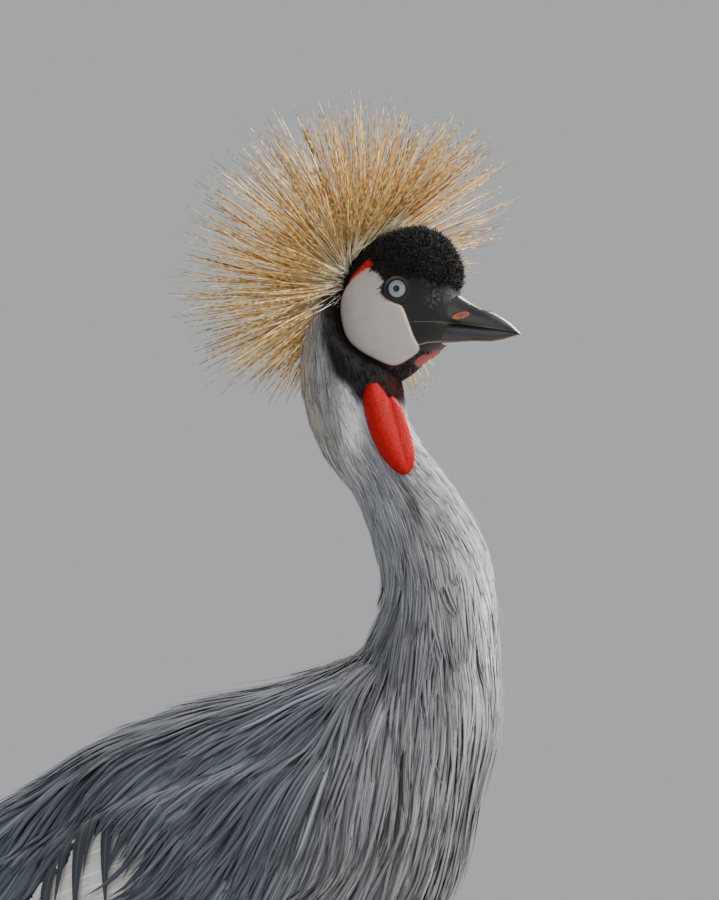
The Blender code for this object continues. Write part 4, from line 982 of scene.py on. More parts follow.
def outlined(points, outline):
    """Signed distance into an outline in the head's side view, mapped to 0.5 plus 2% a millimetre."""
    rim = smooth_rows(outline, 6, closed=True)
    spots = to_head(points)[:, (0, 2)]
    best = np.full(len(spots), 1e9)
    inside = np.zeros(len(spots), dtype=bool)
    for a, b in zip(rim, np.roll(rim, -1, axis=0)):
        edge = b - a
        part = np.clip(((spots - a) @ edge) / (edge @ edge), 0, 1)
        best = np.minimum(best, np.linalg.norm(spots - a - part[:, None] * edge, axis=1))
        crosses = (a[1] > spots[:, 1]) != (b[1] > spots[:, 1])
        slope = edge[0] / (edge[1] + 1e-12)
        inside ^= crosses & (spots[:, 0] < a[0] + slope * (spots[:, 1] - a[1]))
    return np.clip(0.5 + np.where(inside, best, -best) * 0.02, 0, 1)


# The coat's colour, lie and places


def coat_colour(points, normals):
    """The coat's colour at its roots, with painted highlights on the lit front of the neck and on a tuft,
    and painted shade in a furrow.
    """
    x, y, z = points.T
    local = to_head(points)
    colour = blend(GREY_NECK, BREAST_GREY, ease(z, 780, 690))
    # Painted highlight: the front of the neck, which faces the key light, is lightened toward the sunlit
    # colour.
    front = ease(normals[:, 0], 0.35, 0.92) * ease(z, 540, 760) * ease(z, 925, 905)
    colour = blend(colour, SUNLIT, 0.75 * front)
    # A pale tuft beside the wattle, painted brighter than the sunlit colour: partly its own paleness, partly
    # a painted highlight.
    sunlit_tuft = ease(-y, 8, 20) * hump((x + 4) / 9, (z - 862) / 26)
    colour = blend(colour, SUNLIT * 1.5, sunlit_tuft)
    # Painted shade: a dark furrow where the near-side feathers part from the front ones.
    furrow_shade = ease(-y, 2, 14) * ease(z, 770, 800) * ease(z, 832, 822)
    furrow_shade *= hump((x - 31 - (825 - z) * 0.42) / 4.5)
    colour = colour * ((1 - 0.6 * furrow_shade) * (1 + 0.16 * ripple(points, 9, 0.7)))[:, None]
    nape = ease(-normals[:, 0], 0.2, 0.9) * ease(z, 800, 880)
    colour = blend(colour, TAN_NAPE, 0.55 * nape)
    back = ease(30 + (z - 700) * 0.22 - x, 0, 60) * ease(z, 735, 690)
    colour = blend(colour, SLATE, back)
    black = ease(local[:, 0] - read_off(CHARCOAL_LINE, local[:, 2], 1), -5, 4) * ease(local[:, 2], -88, -78)
    colour = blend(colour, CHARCOAL, black)
    return blend(colour, THROAT_RED, hump((x - 27) / 9, (z - 889) / 13))


def flow_at(points):
    """Direction, length and half width of the coat at places on the body."""
    gap = (points[:, None, 0] - FLOW[None, :, 0]) ** 2 + (points[:, None, 2] - FLOW[None, :, 1]) ** 2
    weight = 1 / (gap + FLOW_SOFTNESS ** 2) ** 2
    weight /= weight.sum(axis=1, keepdims=True)
    mixed = weight @ FLOW[:, 2:]
    return unit(np.insert(mixed[:, :2], 1, 0, axis=1)), mixed[:, 2], mixed[:, 3]


def laid(tree, roots, lengths, rings, slope, turns, curls, sink, way_at=None):
    """Feather lines that follow the coat's lie over the skin and rise along it."""
    spots, normals = nearest(tree, roots)
    centres = [spots - normals * sink]
    ups = [normals]
    step = lengths / (rings - 1)
    for ring in range(1, rings):
        way = way_at(spots) if way_at else flow_at(spots)[0]
        way = way - normals * np.sum(way * normals, axis=1, keepdims=True)
        way[:, 0] -= 0.5 * np.maximum(0.7 - np.linalg.norm(way, axis=1), 0)
        way = unit(way - normals * np.sum(way * normals, axis=1, keepdims=True))
        angle = (turns + curls * (ring / (rings - 1)))[:, None]
        way = way * np.cos(angle) + np.cross(normals, way) * np.sin(angle)
        spots, fresh = nearest(tree, spots + way * step[:, None])
        normals = unit(normals + fresh)
        centres.append(spots + normals * (0.35 + slope * step * ring)[:, None])
        ups.append(normals)
    return np.stack(centres, 1), np.stack(ups, 1)


def profile(kind, rings):
    """Part of the full half width at each ring."""
    return np.interp(np.linspace(0, 1, rings), *PROFILES[kind])


def shaded(colours, rings, draw, spread, root_shade=0.62):
    """Colours along each feather: painted shade at the root under the feathers that overlap it, lighter tip,
    each feather a little different.
    """
    # The darker root is painted shade where the feathers above overlap it.
    along = np.interp(np.linspace(0, 1, rings), (0, 0.35, 1), (root_shade, 0.95, 1.08))
    each = np.exp(draw.normal(0, spread, len(colours)))
    if colours.ndim == 2:
        colours = colours[:, None, :]
    return np.clip(colours * along[None, :, None] * each[:, None, None], 0, 0.92)


def body_panel(points):
    """The panel of the unrolled skin a place is on: 0 trunk, 1 neck, 2 and 3 the thighs."""
    _, y, z = points.T
    return np.where(z < 446, np.where(y < 0, 2, 3), np.where(z > 700, 1, 0))


def unrolled(points, panel, start=None):
    """Places on the unrolled skin and the turn of each round its panel's long axis."""
    x, y, z = points.T
    thighs = [np.arctan2(y - side * LEG_SPACING, x - HIP_FORWARD) for side in (-1, 1)]
    neck = np.arctan2(y, x - read_off(NECK_STATIONS, z, 0, key=1))
    turn = np.choose(panel, (np.arctan2(y, z - 560), neck, *thighs))
    if start is not None:
        turn = start + (turn - start + np.pi) % (2 * np.pi) - np.pi
    low = (z - 390) / 60
    along = np.choose(panel, ((x + 480) / 600, (z - 690) / 280, low, low))
    left, wide, bottom, tall = SKIN_PANELS[panel].T
    around = turn / (2 * np.pi) + 0.5
    return np.stack([left + wide * around, bottom + tall * np.clip(along, 0, 1)], -1), turn


def unwrap_body(points):
    """The roots' places on the unrolled skin."""
    return unrolled(points, body_panel(points))[0]


def unwrap_skin(skin, points, faces):
    """The skin's own unrolled map, each face kept whole."""
    corners = np.concatenate(faces)
    sizes = np.array([len(face) for face in faces])
    panel = body_panel(np.array([points[list(face)].mean(axis=0) for face in faces]))
    _, start = unrolled(points[corners[np.cumsum(sizes) - sizes]], panel)
    places, _ = unrolled(points[corners], np.repeat(panel, sizes), np.repeat(start, sizes))
    store_uv(skin.data, "OFBake", places)


def unwrap_head(points):
    """The roots' places on the head unrolled like a globe."""
    x, y, z = unit(to_head(points) - (-10, 0, -5)).T
    around = np.arctan2(y, x) / (2 * np.pi) + 0.5
    return 0.004 + 0.992 * np.stack([around, np.arcsin(np.clip(z, -1, 1)) / np.pi + 0.5], -1)


def white_edge(forward):
    """How far up the wing its white coverts show, from -1 to 1."""
    return read_off(WHITE_EDGE, forward, 1)


def beside_wing(points):
    """The wing's middle height, half height, reach aside and the height of its white edge."""
    height, tall, far = read_off(WING_STATIONS, points[:, 0], 1, 2, 4)
    return height, tall, far, height + tall * white_edge(points[:, 0])


def on_wing(points):
    """Which roots lie on the part of a wing that its own feathers cover."""
    _, y, z = points.T
    height, tall, far, edge = beside_wing(points)
    return (np.abs(y) > far * 0.8) & (z < edge) & (z > height - tall)


def over_wing(centres, ups, base, lift):
    """Feather lines raised by base, and by lift where they lie over the white coverts."""
    x, y, z = centres.reshape(-1, 3).T
    _, _, far, edge = beside_wing(centres.reshape(-1, 3))
    cover = ease(np.abs(y), far * 0.7, far * 0.95) * ease(edge + 16 - z, 0, 16) * ease(x, -330, -290)
    return centres + ups * (base + lift * cover.reshape(centres.shape[:2]))[..., None]


def coat(name, tree, roots, rings, slope, kind, seed, material, slot, longer=1, wider=1, stray=0.04,
         wave=0.12, curl=0.06, locks=0.12, pull=0.65, spread=0.16, lighter=1):
    """One coat piece laid by the flow."""
    draw = np.random.default_rng(seed)
    spots, _ = nearest(tree, roots)
    _, lengths, widths = flow_at(spots)
    count = len(spots)
    lengths = lengths * longer * np.exp(draw.normal(0, 0.13, count))
    widths = widths * wider * np.exp(draw.normal(0, 0.15, count))
    turns = draw.normal(0, stray, count) + wave * ripple(spots, 12)
    curls = draw.normal(0, curl, count) + wave * ripple(spots, 7, 2)
    slopes = slope * np.exp(draw.normal(0, 0.35, count))
    room = np.maximum(spots[:, 2] - beside_wing(spots)[3] + 12, 8) * 1.35
    near = (np.abs(spots[:, 0] + 160) < 50) & (np.abs(spots[:, 1]) > 50)
    lengths = np.where(near, np.minimum(lengths, room), lengths)
    centres, ups = laid(tree, spots, lengths, rings, slopes, turns, curls, 0.8)
    centres = gathered(centres, locks, pull, seed + 300)
    centres = over_wing(centres, ups, 0, COVER_LIFT)
    half = np.maximum(widths[:, None] * profile(kind, rings), 0.06)
    colours = coat_colour(centres.reshape(-1, 3), ups.reshape(-1, 3)).reshape(centres.shape) * lighter
    tints = shaded(colours, rings, draw, spread)
    return strands(name, centres, ups, half, 0.12 + 0.22 * half, tints, unwrap_body(spots), material, slot)


# Pieces


def under_face(points):
    """Skin of the neck drawn inside the head where the face is bare."""
    local = to_head(points)
    x, y, z = to_head(points).T
    back, front, wide = read_off(HEAD_SLICES, z, 1, 2, 3)
    reach = np.where(x > HEAD_WIDEST, front - HEAD_WIDEST, HEAD_WIDEST - back)
    part = np.clip((x - HEAD_WIDEST) / reach, -0.97, 0.97)
    most = np.maximum(np.sqrt(1 - part ** 2) * wide - 3, 0.5)
    inside = ease(outlined(points, CHEEK_OUTLINE), 0.38, 0.47)
    inside = np.maximum(inside, ease(z, -58, -50) * ease(x, -30, -22))
    local[:, 1] += (np.clip(y, -most, most) - y) * inside
    return head_points(local)


def build_skin():
    """One skin under all the feathers, from neck to thighs, wings and tail."""
    torso = slices_form(TORSO_SLICES, 4, 72, TORSO_SQUARENESS, TORSO_WIDEST, 6, 2)
    forms = [neck_form(), torso, tail_form(2.5)]
    for side, _ in SIDES:
        forms += [wing_form(side, 3.5), limb_form(thigh_rows(side, 3.5))]
    points, faces = shell(forms, 2.6, 12)
    x, _, z = points.T
    beside = ease(x, -90, -40) * ease(z, 470, 500) * ease(z, 640, 590)
    points = under_face(settled(points, faces, beside, 60))
    _, normals = nearest(tree_over(points, faces), points)
    # Painted shade: the skin is the coat's colour darkened, so the gaps between feathers read as shade.
    tint = coat_colour(points, normals) * 0.6
    skin = new_mesh("skin", points, faces, skin_material(), "body_plumage", tint=tint)
    unwrap_skin(skin, points, faces)
    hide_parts("neck", "torso", "wing_right", "wing_left", "tail", "thigh_right", "thigh_left")
    return points, faces


def build_coat(points, faces):
    """Feathers of neck, breast, shoulders, back, belly and thighs."""
    tree = tree_over(points, faces)
    plume = plume_material("grey_plumes", 0.65, 0.5, 0.6, 3, 2)
    down = plume_material("neck_down", 0.3, 0.3, 0.8, 3, 2)

    def density(spots):
        _, length, width = flow_at(spots)
        return 1 / (length * width)

    def front(spots):
        return density(spots) * ease(spots[:, 0], -220, -60) * ease(spots[:, 2], 500, 560)

    def feathered(spots):
        x, _, z = to_head(spots).T
        bare = (outlined(spots, CHEEK_OUTLINE) > 0.43) | ((z > -46) & (x > -38)) | ((z > -66) & (x > 4))
        return spots[~on_wing(spots) & ~bare]

    roots = feathered(sampled(points, faces, COAT_ROOTS, 3, density))
    high = roots[:, 2] > 790
    middle = ~high & (roots[:, 2] > 690)
    coat("neck_down", tree, roots[high], 7, 0.045, "lance", 21, down, "neck_plumage",
         spread=0.22, locks=0.10, wider=0.78, pull=0.6, wave=0.06, stray=0.05)
    coat("neck_plumes", tree, roots[middle], 8, 0.045, "lance", 22, plume, "neck_plumage",
         spread=0.24, locks=0.09, pull=0.75)
    coat("body_plumes", tree, roots[~high & ~middle], 8, 0.055, "lance", 23, plume, "body_plumage",
         pull=0.5, wider=1.3, spread=0.27)
    build_blades(tree, plume)
    wisps = feathered(sampled(points, faces, WISP_ROOTS, 4, front))
    coat("loose_barbs", tree, wisps, 7, 0.075, "hair", 24, plume, "neck_plumage",
         wider=0.22, longer=0.7, stray=0.10, curl=0.2, lighter=1.3, spread=0.3, locks=0.3, pull=0.4)


def build_blades(tree, material):
    """Pointed shoulder plumes over both wings."""
    draw = np.random.default_rng(25)
    rows = np.tile(SCAPULAR_BLADES, (2, 1))
    count = len(rows)
    rings = 12
    side = np.repeat((-1, 1), len(SCAPULAR_BLADES))
    roots = np.stack([rows[:, 0], side * 110, rows[:, 1]], -1)
    ways = unit(np.stack([rows[:, 2], np.zeros(count), -np.ones(count)], -1))
    curls = side * draw.normal(0, 0.05, count)
    centres, ups = laid(tree, roots, rows[:, 3], rings, 0.012, 0, curls, 0.8, lambda spots: ways)
    centres = over_wing(centres, ups, 0.4, 1.6 * COVER_LIFT)
    half = rows[:, 4:] * profile("blade", rings)
    tints = shaded(np.tile(SLATE * 0.55, (count, 1)), rings, draw, 0.12, 1)
    spots = unwrap_body(roots)
    strands("scapular_points", centres, ups, half, 0.3 + 0.1 * half, tints, spots, material, "body_plumage")


def wing_at(place):
    """The wing's numbers at places along it, counted in stations."""
    index = np.arange(len(WING_STATIONS))
    return [np.interp(place, index, column) for column in WING_STATIONS.T]


def wing_line(side, place, up_part, lift):
    """Points on the wing's outer face at places along it, lifted off it."""
    forward, height, tall, thick, far = wing_at(place)
    up, out = wing_axes(side)
    bulge = np.sqrt(np.maximum(0, 1 - up_part ** 2))
    normal = unit(np.outer(bulge / thick, out) + np.outer(up_part / tall, up))
    centre = np.stack([forward, side * far, height], -1)
    spot = centre + np.outer(tall * up_part, up) + np.outer(thick * bulge, out)
    return spot + normal * lift[:, None], normal


def build_wings():
    """Quills, straw plumes and white coverts of both folded wings."""
    plume = plume_material("wing_vanes", 0.12, 0.3, 0.6, 90)
    rings = 10
    for side, word in SIDES:
        for tier, row in enumerate(WING_TIERS):
            kind, first, last, rows, each, low, high, reach, half_width, base, shape, colour = row
            draw = np.random.default_rng(40 + tier)
            up_part = np.tile(np.linspace(low, high, each), rows)
            stagger = np.repeat(np.arange(rows) % 2, each) * (high - low) / each * 0.5
            up_part = np.clip(up_part + stagger + draw.normal(0, 0.012, rows * each), -0.95, 0.8)
            place = np.repeat(np.linspace(first, last, rows), each) + draw.normal(0, 0.05, rows * each)
            shown = up_part < white_edge(wing_at(place)[0]) + 0.12
            if kind == "white":
                shown &= up_part < white_edge(wing_at(place + 0.8 * reach)[0]) + 0.1
            place = place[shown]
            up_part = up_part[shown]
            many = len(place)
            length = reach * np.exp(draw.normal(0, 0.06, many))
            lines = []
            for part in np.linspace(0, 1, rings):
                risen = ease(part, 0, 0.22)
                lift = (base + 1.4 * part * length) * risen - 2.5 * (1 - risen)
                lines.append(wing_line(side, place + length * part, up_part - 0.10 * part * length, lift))
            centres, ups = [np.stack(parts, 1) for parts in zip(*lines)]
            uneven = np.exp(draw.normal(0, 0.06, (many, 1)))
            half = np.maximum(half_width * profile(shape, rings) * uneven, 0.2)
            tints = shaded(np.tile(colour, (many, 1)), rings, draw, 0.10, 0.55)
            spots = np.stack([place / 9, 0.5 + 0.45 * up_part], -1)
            name = "wing_" + kind + "_" + word
            strands(name, centres, ups, half, 0.25 + 0.06 * half, tints, spots, plume, "wing_plumage")


def build_tail():
    """The black tail's vanes, the middle pair on top."""
    plume = plume_material("tail_vanes", 0.1, 0.4, 0.5, 90)
    droop = math.radians(TAIL_DROOP_DEG)
    share = np.linspace(-1, 1, TAIL_VANES)
    up = np.array((-math.sin(droop), 0, math.cos(droop)))
    rings = 9
    along = np.linspace(0, 1, rings)
    centres = np.empty((TAIL_VANES, rings, 3))
    for k, part in enumerate(share):
        turn = math.radians(TAIL_SPREAD_DEG) * part
        run = np.array((-math.cos(droop) * math.cos(turn), math.sin(turn), -math.sin(droop)))
        root = np.array((-384, part * 15, 488)) - up * abs(part) * 7
        centres[k] = root + np.outer(along * TAIL_LENGTH * (1 - 0.06 * abs(part)), run)
        centres[k] -= np.outer(along * abs(part) * 4 + (k % 2) * 0.8, up)
    half = np.maximum(np.tile(12.5 * profile("vane", rings), (TAIL_VANES, 1)), 0.2)
    tints = shaded(np.tile((0.012, 0.012, 0.014), (TAIL_VANES, 1)), rings, np.random.default_rng(50), 0.1)
    spots = np.stack([0.5 + 0.45 * share, np.full(TAIL_VANES, 0.5)], -1)
    strands("tail_vanes", centres, up, half, 0.3 + 0.05 * half, tints, spots, plume, "tail_plumage")


def build_face():
    """The bare and bristled head with lids, cheek, red patch and throat."""
    forms = [head_form(0.6), lid_form(-1), lid_form(1)]
    for slices, widest in BILL_HALVES.values():
        inner = slices[:4] + np.outer(0.5 + 0.5 * np.arange(4), (0, 1, -1, -1))
        forms.append(head_points(slices_form(inner, 6, 48, BILL_SQUARENESS, widest)))
    points, faces = shell(forms, 0.85, 4)
    x = to_head(points)[:, 0]
    points = settled(points, faces, ease(x, 16, 28) * ease(x, 58, 50), 30)
    tree = tree_over(points, faces)
    _, normals = nearest(tree, points)
    cheek = outlined(points, CHEEK_OUTLINE)
    red = outlined(points, RED_OUTLINE)
    proud = ease(cheek, 0.5, 0.53) + 0.7 * ease(red, 0.5, 0.53) * (cheek < 0.5)
    for side, _ in SIDES:
        off, along = round_eye(points, side)
        folds = ease(off, 9.6, 10.8) * ease(off, 16, 13) * (along > 0)
        proud += 0.28 * folds * np.cos(off * 2 * np.pi / 2.3) * (cheek < 0.5)
    x, _, z = to_head(points).T
    proud -= 0.35 * hump((z + 24.8) / 0.9) * ease(x, 12, 18) * (x < 46)
    points = points + normals * proud[:, None]
    x, _, z = to_head(points).T
    lid = np.zeros(len(points))
    for side, _ in SIDES:
        off, along = round_eye(points, side)
        above = 0.12 + 0.88 * ease(points[:, 2] - EYES[2], 0.5, 7)
        lid = np.maximum(lid, ease(off, 7.2, 8.2) * ease(off, 10.2, 9.2) * (along > 0) * above)
    face = new_mesh(
        "face", points, faces, face_material(), "face", cheek=cheek, red=red, lid=lid,
        gular=outlined(points, GULAR_OUTLINE),
        lores=ease(x, 16, 30) * ease(z, -20, -8) * ease(z, 12, 4),
        mouth=np.clip(0.5 + (z - read_off(MOUTH_LINE, x, 1)) * 0.1, 0, 1),
        gape=ease(x, 10, 15),
        jaw=np.clip(0.5 + (z - read_off(JAW_LINE, x, 1)) * 0.1, 0, 1),
        horn=ease(x, 24, 42),
        throat=ease(-z, 50, 58) * ease(x, -14, -2) * 0.8,
    )
    store_uv(face.data, "OFBake", unwrap_head(points)[np.concatenate(faces)])
    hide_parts("head", "cheek_right", "cheek_left", "red_patch_right", "red_patch_left")
    build_bristles(points, faces, tree)


def build_bristles(points, faces, tree):
    """Short black feathering round the bare skin and on the chin."""
    draw = np.random.default_rng(61)
    roots = sampled(points, faces, BRISTLE_ROOTS, 60)
    x, _, z = to_head(roots).T
    clear = ~((x > -9) & (z > -45) & (z < 8))
    for outline, most in ((CHEEK_OUTLINE, 0.49), (RED_OUTLINE, 0.49), (GULAR_OUTLINE, 0.5)):
        clear &= outlined(roots, outline) < most
    for side, _ in SIDES:
        off, along = round_eye(roots, side)
        clear &= ~((off < 10.5) & (along > 0))
    roots = roots[clear]
    count = len(roots)
    lengths = np.interp(x[clear], (-50, 0, 20, 40), (6, 4.5, 2.4, 1.6)) * np.exp(draw.normal(0, 0.2, count))

    def way_at(spots):
        down = -0.6 - 0.02 * np.maximum(-to_head(spots)[:, 2], 0)
        return unit(np.stack([-np.ones(count), np.zeros(count), down], -1) @ HEAD_TURN.T)

    turns = draw.normal(0, 0.35, count)
    centres, ups = laid(tree, roots, lengths, 4, 0.16, turns, turns * 0.3, 0.3, way_at)
    half = np.tile(0.28 * profile("hair", 4), (count, 1))
    tints = shaded(np.tile(CHARCOAL * 0.8, (count, 1)), 4, draw, 0.35)
    black = velvet_material("bristle_black")
    strands("face_bristles", centres, ups, half, half * 0.5, tints, unwrap_head(roots), black, "face")


def build_cap():
    """The velvet cap: a cushion under dense short tufts."""
    points, faces = shell([head_points(slices_form(CAP_SLICES, 4, 64, 2, 0.5))], 1.1, 6)
    _, normals = nearest(tree_over(points, faces), points)
    points = points - normals * (1.5 + 1.9 * ease(to_head(points)[:, 0], 22, 40))[:, None]
    velvet = velvet_material("cap_velvet")
    tint = np.tile((0.006, 0.006, 0.007), (len(points), 1))
    cushion = new_mesh("cap_cushion", points, faces, velvet, "velvet", tint=tint)
    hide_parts("cap")
    draw = np.random.default_rng(71)
    spots, normals = nearest(tree_over(points, faces), sampled(points, faces, CAP_TUFTS, 70))
    count = len(spots)
    rings = 4
    back = unit(HEAD_TURN @ (-0.5, 0, 0.2))
    lean = unit(normals + back * 0.45 + draw.normal(0, 0.38, (count, 3)))
    length = CAP_TUFT_LENGTH * np.exp(draw.normal(0, 0.18, count))[:, None]
    curl = draw.normal(0, 0.7, (count, 3))
    centres = np.stack([
        spots - normals * 0.5 * (1 - part) + (lean * part + curl * part * part * 0.5) * length
        for part in np.arange(rings) / (rings - 1)
    ], 1)
    ups = unit(np.cross(lean, draw.normal(0, 1, (count, 3))))[:, None, :]
    half = np.tile(0.40 * profile("hair", rings), (count, 1))
    tints = shaded(np.tile(VELVET, (count, 1)), rings, draw, 0.45, 0.3)
    strands("cap_tufts", centres, ups, half, half * 0.6, tints, unwrap_head(spots), velvet, "velvet")


def build_bill():
    """Both mandibles, with nostrils, cutting edges and a hooked tip."""
    horn = bill_material()
    for node, (slices, widest) in BILL_HALVES.items():
        points, faces = loft(head_points(slices_form(slices, 12, 72, BILL_SQUARENESS, widest)))
        local = to_head(points)
        x, y, z = to_head(points).T
        low, high = read_off(slices, x, 1, 2)
        hole = edge = pink = np.zeros(len(points))
        if node == "bill_upper":
            slope = (x - NOSTRIL[0]) * 0.2
            off = np.hypot((x - NOSTRIL[0]) / NOSTRIL_HALF[0], (z - NOSTRIL[1] - slope) / NOSTRIL_HALF[1])
            hole = np.where(np.abs(y) > 1.5, np.clip(1 - off * 0.5, 0, 1), 0)
            sunk = 0.9 * ease(hole, 0.46, 0.75) - 0.2 * ease(hole, 0.3, 0.42) * ease(hole, 0.5, 0.42)
            local[:, 1] -= np.sign(y) * sunk
            points = head_points(local)
            edge = ease(z - low, 1.9, 0.9) * ease(x, 84, 66) * 0.5
        else:
            pink = ease(z - low, 1.5, 0.7) * 0.9
        # Partly painted highlight: the horn is paler toward the tip on the upper part of each half's
        # section.
        tip = ease(x, 55, 88) * ease((z - low) / np.maximum(high - low, 0.5), 0.5, 1)
        fields = {"nostril": hole, "tip": tip, "edge": edge, "pink": pink}
        piece = new_mesh(node + "_horn", points, faces, horn, "bill", **fields)
        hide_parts(node)


def build_eyes():
    """Wet eyes with a pale blue iris and a slight bulge of the cornea."""
    wet = eye_material()
    count = 64
    for side, word in SIDES:
        centre, axis = eye_place(side)
        right = unit(np.cross(Z_AXIS, axis))
        rings = []
        off = []
        for angle in np.linspace(0, np.pi, 60)[1:-1]:
            radius = EYE_RADIUS + CORNEA_BULGE * math.exp(-((math.degrees(angle) / 24) ** 2))
            size = radius * math.sin(angle)
            rings.append(oval(centre + axis * radius * math.cos(angle), right, Z_AXIS, (size, size), count))
            off += [math.sin(angle) if angle < np.pi / 2 else 1] * count
        eye = new_mesh("eye_ball_" + word, *loft(rings), wet, "eye", from_axis=np.array(off + [0, 1]))
        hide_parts("eye_" + word)


def wattle_form(rows, top, bottom):
    """One hanging lobe's rings, at one depth aside at its top and another at its bottom."""
    fine = smooth_rows(rows, 8)
    turn = math.radians(CAMERA_AZIMUTH_DEG)
    aside = np.linspace(top, bottom, len(fine))
    forward = ((fine[:, 0] - EYES_COLUMN) * PICTURE_SCALE - aside * math.sin(turn)) / math.cos(turn)
    middles = np.stack([forward, aside, EYES[2] + (EYES_ROW - fine[:, 1]) * PICTURE_SCALE], -1)
    out = unit(np.array((0.45, -0.9, 0)))
    rings = []
    for k, row in enumerate(fine):
        rings.append(oval(middles[k], unit(np.cross(run_at(middles, k), out)), out, row[2:], 40))
    return rings


def build_wattle():
    """The scarlet wattle's two lobes with their folds."""
    points, faces = shell([wattle_form(WATTLE_NEAR, -26, -26), wattle_form(WATTLE_FAR, -18, -25.5)], 0.7, 8)
    wattle = new_mesh("wattle_skin", points, faces, wattle_material(), "red_skin")
    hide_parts("wattle")


def turned_deg(way):
    """The turn of directions in the head's middle plane."""
    return np.degrees(np.arctan2(way[:, 2], way[:, 0])) % 360


def crest_ways(draw):
    """Directions of the crest's feathers in the head's frame, with their lengths."""
    index = np.arange(CREST_COUNT) + 0.5
    height = 1 - 2 * index / CREST_COUNT
    turn = math.pi * (3 - math.sqrt(5)) * index
    reach = np.sqrt(1 - height ** 2)
    way = np.stack([reach * np.cos(turn), reach * np.sin(turn) * CREST_FLATNESS, height], -1)
    way = unit(way + draw.normal(0, 0.035, way.shape))
    front = way[turned_deg(way) < CREST_FRONT_DEG]
    way = np.concatenate([way, unit(front + draw.normal(0, 0.05, front.shape))])
    lean = np.degrees(np.arccos(np.clip(way @ unit(np.array(CREST_AXIS)), -1, 1)))
    most = np.where(np.abs(way[:, 1]) > 0.6, CREST_SIDE_LEAN_DEG, CREST_LEAN_DEG)
    length = draw.normal(0.955, 0.07, len(way)) + 0.05 * ripple(way * 10, 3)
    turned = turned_deg(way)
    length = CREST_RADIUS * np.clip(length, 0.70, 1.05) * read_off(CREST_REACH, turned, 1)
    keep = (lean < most) & ((turned < 243) | (turned > 350))
    return way[keep], length[keep]


def chin_tips():
    """Tips of the far side's lowest feathers, with more above them that the head hides."""
    draw = np.random.default_rng(83)
    more = np.tile(CHIN_TIPS, (5, 1))
    more[:, 2] += draw.uniform(8, 66, len(more))
    return np.vstack([CHIN_TIPS, more + draw.normal(0, 3.5, more.shape)])


def crest_clear(centres):
    """Which crest feathers keep off the face, the cap and the front of the neck."""
    spots = centres[:, 2:].reshape(-1, 3)
    x, y, z = to_head(spots).T
    low, high, wide = read_off(CAP_SLICES, x, 1, 2, 3, outside=0)
    middle = (low + high) * 0.5
    inside = (y / np.maximum(wide, 0.1)) ** 2 + ((z - middle) / np.maximum(high - middle, 0.1)) ** 2 < 0.9
    back, front, wide = read_off(HEAD_SLICES, z, 1, 2, 3, outside=0)
    reach = np.maximum(np.where(x > HEAD_WIDEST, front - HEAD_WIDEST, HEAD_WIDEST - back), 0.1)
    inside |= ((x - HEAD_WIDEST) / reach) ** 2 + (y / np.maximum(wide, 0.1)) ** 2 < 0.9
    shown = (x > -29) & (z < read_off(CAP_LINE, x, 1) + 1) & (z > -70)
    shown |= np.maximum(outlined(spots, CHEEK_OUTLINE), outlined(spots, RED_OUTLINE)) > 0.48
    inside |= (y < 0) & shown
    return ~inside.reshape(len(centres), -1).any(axis=1)


def build_crest():
    """The fan of stiff straw-gold feathers."""
    draw = np.random.default_rng(81)
    way, length = crest_ways(draw)
    along = unit(np.array(PAD_ALONG))
    out = np.array((along[2], 0, -along[0]))
    place = np.clip((way @ along) * 1.1 + draw.normal(0, 0.12, len(way)), -1.15, 1.15)[:, None]
    middle = np.array(PAD_CENTRE) + place * PAD_REACH * along + np.maximum(1 - place ** 2, 0) * 6 * out
    down = unit(np.array(CREST_EDGE_ALONG))
    edge = np.tile(CREST_EDGE_CENTRE, (len(way), 1)) + place * CREST_EDGE_HALF * down
    edge[:, 1] *= np.sign(way[:, 1])
    beside = np.clip(np.abs(way[:, 1]) / CREST_FLATNESS * 1.3, 0, 1)
    root = blend(middle, edge, beside) + draw.normal(0, 0.5, way.shape)
    low = chin_tips()
    root = head_points(np.vstack([root, CHIN_ROOT + draw.normal(0, 1.5, low.shape)]))
    tip = head_points(np.vstack([CREST_CENTRE + way * length[:, None], low]))
    rings = 9
    part = np.linspace(0, 1, rings)
    bend = unit(np.cross(tip - root, draw.normal(0, 1, root.shape))) * draw.normal(0, 2.2, (len(root), 1))
    bow = part * (1 - part) * 4 - part ** 2
    centres = root[:, None, :] + (tip - root)[:, None, :] * part[:, None] + bend[:, None, :] * bow[:, None]
    centres = centres[crest_clear(centres)]
    count = len(centres)
    build_crest_down(centres, draw)
    ups = unit(draw.normal(0, 1, (count, 1, 3)))
    _, y, z = to_head(centres[:, -1]).T
    chin = ((y > 100) & (z < -55))[:, None]
    size = 0.52 * np.exp(draw.normal(0, 0.15, (count, 1))) * np.where(chin, 1.4, 1)
    half = size * profile("spine", rings)
    line = blend(blend(STRAW, BEIGE, ease(part, 0.36, 0.12)), BROWN_TIP, ease(part, 0.90, 0.98))
    each = np.where(chin[..., None], 1.3, np.exp(draw.normal(0, 0.5, (count, 1, 1))))
    tints = np.clip(line * each, 0, 0.9)
    spots = unwrap_head(centres[:, -1])
    straw = crest_glint_material()
    crest = strands("crest_feathers", centres, ups, half, half * 1.1, tints, spots, straw, "crest")
    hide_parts("crest")


